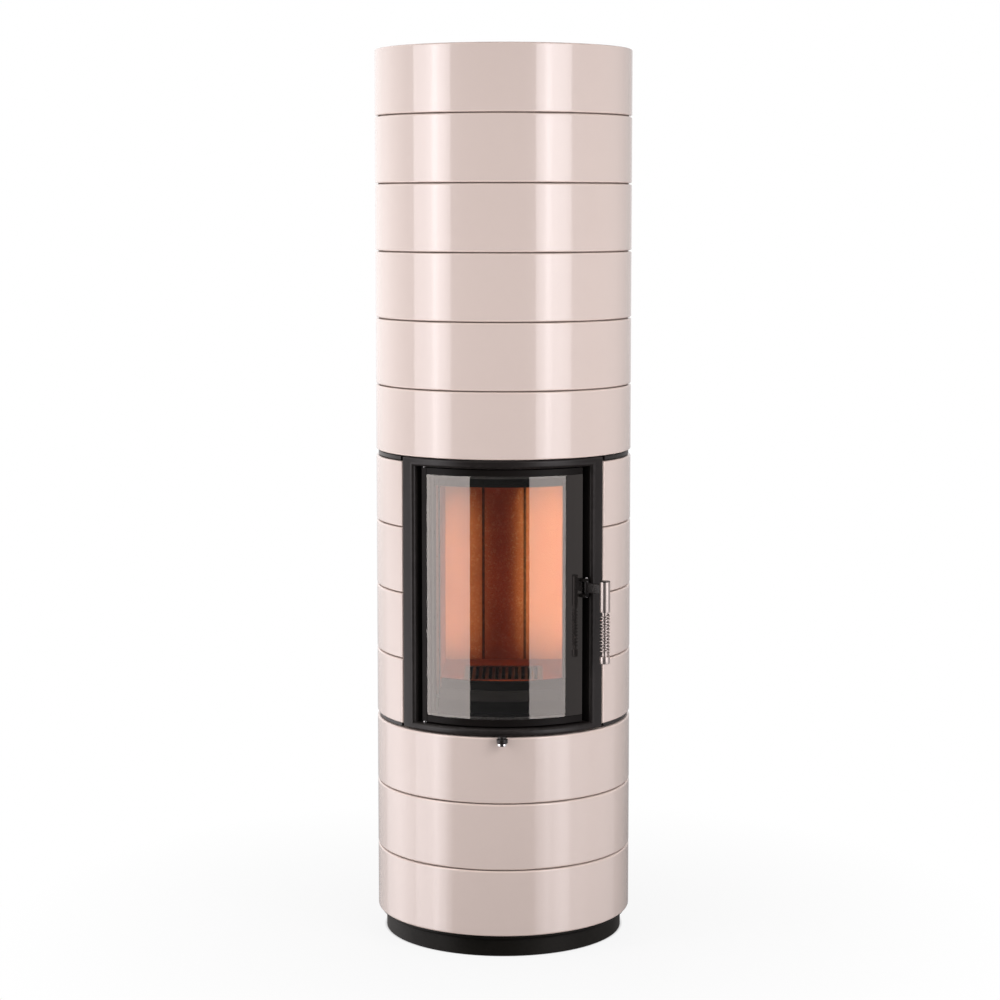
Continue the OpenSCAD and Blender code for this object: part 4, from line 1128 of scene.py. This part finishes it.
def make_floor():
    """Pale floor that keeps the shadow and fades to white away from the stove."""
    bm = bmesh.new()
    bmesh.ops.create_grid(bm, x_segments=1, y_segments=1, size=30)
    floor = as_object("floor", bm)
    made = bpy.data.materials.new("pale_floor")
    net = empty_net(made)
    place = net.add("ShaderNodeTexCoord", out="Object")
    away = net.add("ShaderNodeVectorMath", {0: place}, out="Value", operation="LENGTH")
    matt = net.add("ShaderNodeBsdfDiffuse", {"Color": (0.55, 0.55, 0.55, 1)})
    white = net.add("ShaderNodeEmission", {"Color": (1, 1, 1, 1), "Strength": 1.0})
    rays = net.rays()
    # What the camera sees: matt floor under the stove, nearly white at `near`, white from `far`
    near, far = 0.33, 1.2
    under = net.span(away, PLINTH_R - 6 * MM, PLINTH_R + 6 * MM)
    seen = net.times(under, net.span(away, near, far, 0.90, 1.0))
    seen = net.times(rays["Is Camera Ray"], seen)
    net.add("ShaderNodeOutputMaterial", {"Surface": net.blend(seen, matt, white)})
    floor.data.materials.append(made)
    floor.visible_glossy = False


def make_world(ambient):
    """White background, a dark room behind the camera for reflections, and even light."""
    world = bpy.data.worlds.new("studio")
    bpy.context.scene.world = world
    net = empty_net(world)
    rays = net.rays()
    parts = net.axes(net.add("ShaderNodeTexCoord", out="Generated"))
    # The room as mirrors see it: lighter behind the stove and overhead, darker to the right
    # and under the horizon
    lift = net.times(net.math("MAXIMUM", parts[2], 0.0), 0.8)
    room = net.span(net.math("ADD", parts[1], lift), -0.15, 0.6, 0.05, 1.0)
    room = net.times(room, net.span(parts[0], -0.6, 0.5, 1.35, 0.52))
    room = net.times(room, net.span(parts[2], -0.25, -0.05, 0.45, 1.0))
    behind = net.add("ShaderNodeBackground", {"Color": (1, 1, 1, 1), "Strength": 1.0})
    seen = net.add("ShaderNodeBackground", {"Color": (1, 0.95, 0.945, 1), "Strength": room})
    even = net.add("ShaderNodeBackground", {"Color": (1, 1, 1, 1), "Strength": ambient})
    # White for the camera, also straight through the pane; the room for mirrored rays
    unmirrored = net.math("LESS_THAN", rays["Glossy Depth"], 0.5)
    through = net.times(rays["Is Transmission Ray"], unmirrored)
    straight = net.math("MAXIMUM", rays["Is Camera Ray"], through)
    mirrored = net.math("MAXIMUM", rays["Is Glossy Ray"], rays["Is Transmission Ray"])
    glossy = net.blend(mirrored, even, seen)
    net.add("ShaderNodeOutputWorld", {"Surface": net.blend(straight, glossy, behind)})


def strip_light(name, b0, b1, radiance, profile, tint, low=0.4, rise=(0.2, 0.75)):
    """Tall soft strip between two bearings from the front, facing the stove's axis.
    profile gives (place across, share of the radiance); low is the share under the height
    where the rise begins, and over the rise the strip is full."""
    away, z0, z1 = 2.4, -0.9, 2.8
    width = 2 * away * math.tan(math.radians((b1 - b0) / 2))
    light = bpy.data.lights.new(name, "AREA")
    light.shape = "RECTANGLE"
    light.size, light.size_y = width, z1 - z0
    light.energy = radiance * math.pi * width * (z1 - z0)
    light.color = tint[:3]
    net = empty_net(light)
    parts = net.axes(net.add("ShaderNodeNewGeometry", out="Parametric"))
    ramp = net.add("ShaderNodeValToRGB", {0: parts[0]}).node
    ramp.color_ramp.interpolation = "EASE"
    stops = ramp.color_ramp.elements
    stops[0].position, stops[1].position = profile[0][0], profile[-1][0]
    for place, level in profile:
        stop = next((e for e in stops if abs(e.position - place) < 1e-4), None) or stops.new(place)
        stop.color = (level, level, level, 1)
    level = net.times(ramp.outputs[0], net.span(parts[1], rise[0], rise[1], low, 1.0))
    glow = net.add("ShaderNodeEmission", {"Strength": level})
    net.add("ShaderNodeOutputLight", {"Surface": glow})
    lamp = in_scene(name, light)
    place = on_ring(away, (b0 + b1) / 2, (z0 + z1) / 2)
    lamp.location = place
    lamp.rotation_euler = Vector((-place.x, -place.y, 0)).to_track_quat("-Z", "Y").to_euler()
    lamp.visible_camera = lamp.visible_transmission = False
    return lamp


def light_only(lamp, group_name, objects, leave_out):
    """Let a lamp shine on some objects only, or on all but them."""
    receivers = bpy.data.collections.get(group_name) or bpy.data.collections.new(group_name)
    for obj in objects:
        if obj.name not in receivers.objects:
            receivers.objects.link(obj)
    for entry in receivers.collection_objects:
        entry.light_linking.link_state = "EXCLUDE" if leave_out else "INCLUDE"
    lamp.light_linking.receiver_collection = receivers


def make_lights(size):
    """Strips round the stove, strips that only the pane mirrors, and lamps in the chamber."""
    pane = [bpy.data.objects["curved_pane"]]
    soft_left = ((0, 0.40), (0.32, 0.47), (0.47, 0.60), (0.60, 1.0), (0.76, 0.68), (1, 0.42))
    soft_right = ((0, 0.43), (0.18, 0.62), (0.34, 1.0), (0.5, 0.69), (0.7, 0.57), (1, 0.40))
    fading = ((0, 0.4), (0.13, 1.0), (0.35, 0.85), (0.59, 0.5), (1, 0.25))
    rising = ((0, 0.12), (0.15, 0.42), (0.41, 1.0), (0.8, 0.95), (1, 0.5))
    even = ((0, 1.0), (1, 1.0))
    # Name, bearings, share of the radiance, profile, and low and rise of strip_light
    for name, b0, b1, share, profile, low, rise in (
            ("left_strip", -81.5, -44.5, 1.0, soft_left, 0.4, (0.2, 0.75)),
            ("right_strip", 27.5, 59.5, 1.0, soft_right, 0.4, (0.2, 0.75)),
            ("left_fill", -130.0, -50.0, 0.045, rising, 6.5, (0.2, 0.48)),
            ("right_fill", 44.0, 118.0, 0.085, fading, 2.6, (0.2, 0.48))):
        lamp = strip_light(name, b0, b1, size.strips * share, profile, size.tint, low, rise)
        light_only(lamp, "all_but_pane", pane, True)
    behind = strip_light("back_fill", 163.0, 197.0, size.strips * 0.2, even, size.tint, 1.0)
    behind.visible_glossy = False
    light_only(behind, "all_but_pane", pane, True)
    # Strips that only the pane mirrors: name, bearings, share of the radiance, low
    for name, b0, b1, share, low in (("pane_left", -95.0, -29.6, 1.05, 0.8),
                                     ("pane_right", 23.4, 58.0, 0.89, 0.85),
                                     ("pane_side", 58.1, 96.0, 0.125, 0.6)):
        lamp = strip_light(name, b0, b1, size.veils * share, even, size.veil_tone, low)
        light_only(lamp, "pane_only", pane, False)
    # Chamber: name, share of the power, colour, place, width, height, opening of the beam
    for name, share, tone, place, width, height, opening in (
            ("hearth_lamp", 0.27, size.glow, (0.03, -0.14, 0.72), 0.12, 0.16, math.pi),
            ("right_lamp", 0.54, size.side_glow, (0.107, -0.10, 0.81), 0.04, 0.36, 0.7),
            ("left_lamp", 0.15, size.side_glow, (-0.112, -0.10, 0.79), 0.04, 0.36, 0.65)):
        glow = bpy.data.lights.new(name, "AREA")
        glow.energy, glow.color = size.chamber * share, tone[:3]
        glow.shape, glow.size, glow.size_y, glow.spread = "RECTANGLE", width, height, opening
        lamp = in_scene(name, glow)
        lamp.location = place
        lamp.rotation_euler = (math.pi / 2, 0, 0)
        lamp.visible_camera = lamp.visible_transmission = lamp.visible_glossy = False


def aim_camera(size):
    """Camera at the photograph's place, with its shift."""
    data = bpy.data.cameras.new("camera")
    data.sensor_width = 36.0
    data.lens = size.lens
    data.shift_x, data.shift_y = -0.0035, -0.03
    camera = in_scene("camera", data)
    camera.location = on_ring(size.distance, math.degrees(size.bearing), size.height)
    camera.rotation_euler = (math.pi / 2 - size.tilt, 0, size.bearing)
    bpy.context.scene.camera = camera


# CAD nodes with another finish than that of their slot; the plinth's and base plate's darker paint is painted
# shade under the overhanging rings
OWN_FINISH = {"ash_box": "carrier_steel", "ash_pan": "sooty_steel", "front_flange": "sooty_steel",
              "plinth_ring": "base_steel", "base_plate": "base_steel"}


class STOVE_OT_finishes(bpy.types.Operator):
    """Give the CAD nodes that stay in view the finish of their material slot"""
    bl_idname = "stove.finishes"
    bl_label = "Finishes of the CAD nodes"

    def execute(self, context):
        slots = {}
        for material in frame["record"]["materials"]:
            for node in material.get("nodes", []):
                slots[node] = material["slot"]
        for name, obj in frame["nodes"].items():
            slot = slots.get(name) or obj.data.materials[0].name.split(".")[0]
            obj.data.materials.clear()
            obj.data.materials.append(finish_of(OWN_FINISH.get(name, slot)))
        return {"FINISHED"}


SETTINGS = {"stove_ceramic": CeramicSizes, "stove_cast": CastSizes, "stove_grip": GripSizes,
            "stove_studio": StudioSizes}
OPERATORS = [STOVE_OT_finishes, STOVE_OT_rings, STOVE_OT_side_tiles, STOVE_OT_joints,
             STOVE_OT_surround, STOVE_OT_door, STOVE_OT_pane, STOVE_OT_hinges, STOVE_OT_latch,
             STOVE_OT_grip, STOVE_OT_air_control, STOVE_OT_hearth, STOVE_OT_studio]


class STOVE_PT_panel(bpy.types.Panel):
    """Lists the sizes and the steps that dress the stove"""
    bl_idname = "STOVE_PT_panel"
    bl_label = "Round storage stove"
    bl_space_type = "VIEW_3D"
    bl_region_type = "UI"
    bl_category = "Stove"

    def draw(self, context):
        for key in SETTINGS:
            box = self.layout.box()
            for name in getattr(context.scene, key).bl_rna.properties.keys():
                if name not in ("rna_type", "name"):
                    box.prop(getattr(context.scene, key), name)
        for operator in OPERATORS:
            self.layout.operator(operator.bl_idname)


def register():
    for key, settings in SETTINGS.items():
        bpy.utils.register_class(settings)
        setattr(bpy.types.Scene, key, bpy.props.PointerProperty(type=settings))
    for item in OPERATORS + [STOVE_PT_panel]:
        bpy.utils.register_class(item)


def unregister():
    for item in reversed(OPERATORS + [STOVE_PT_panel]):
        bpy.utils.unregister_class(item)
    for key, settings in SETTINGS.items():
        delattr(bpy.types.Scene, key)
        bpy.utils.unregister_class(settings)


def main():
    register()
    for operator in OPERATORS:
        group_name, name = operator.bl_idname.split(".")
        getattr(getattr(bpy.ops, group_name), name)()


if __name__ == "__main__":
    main()
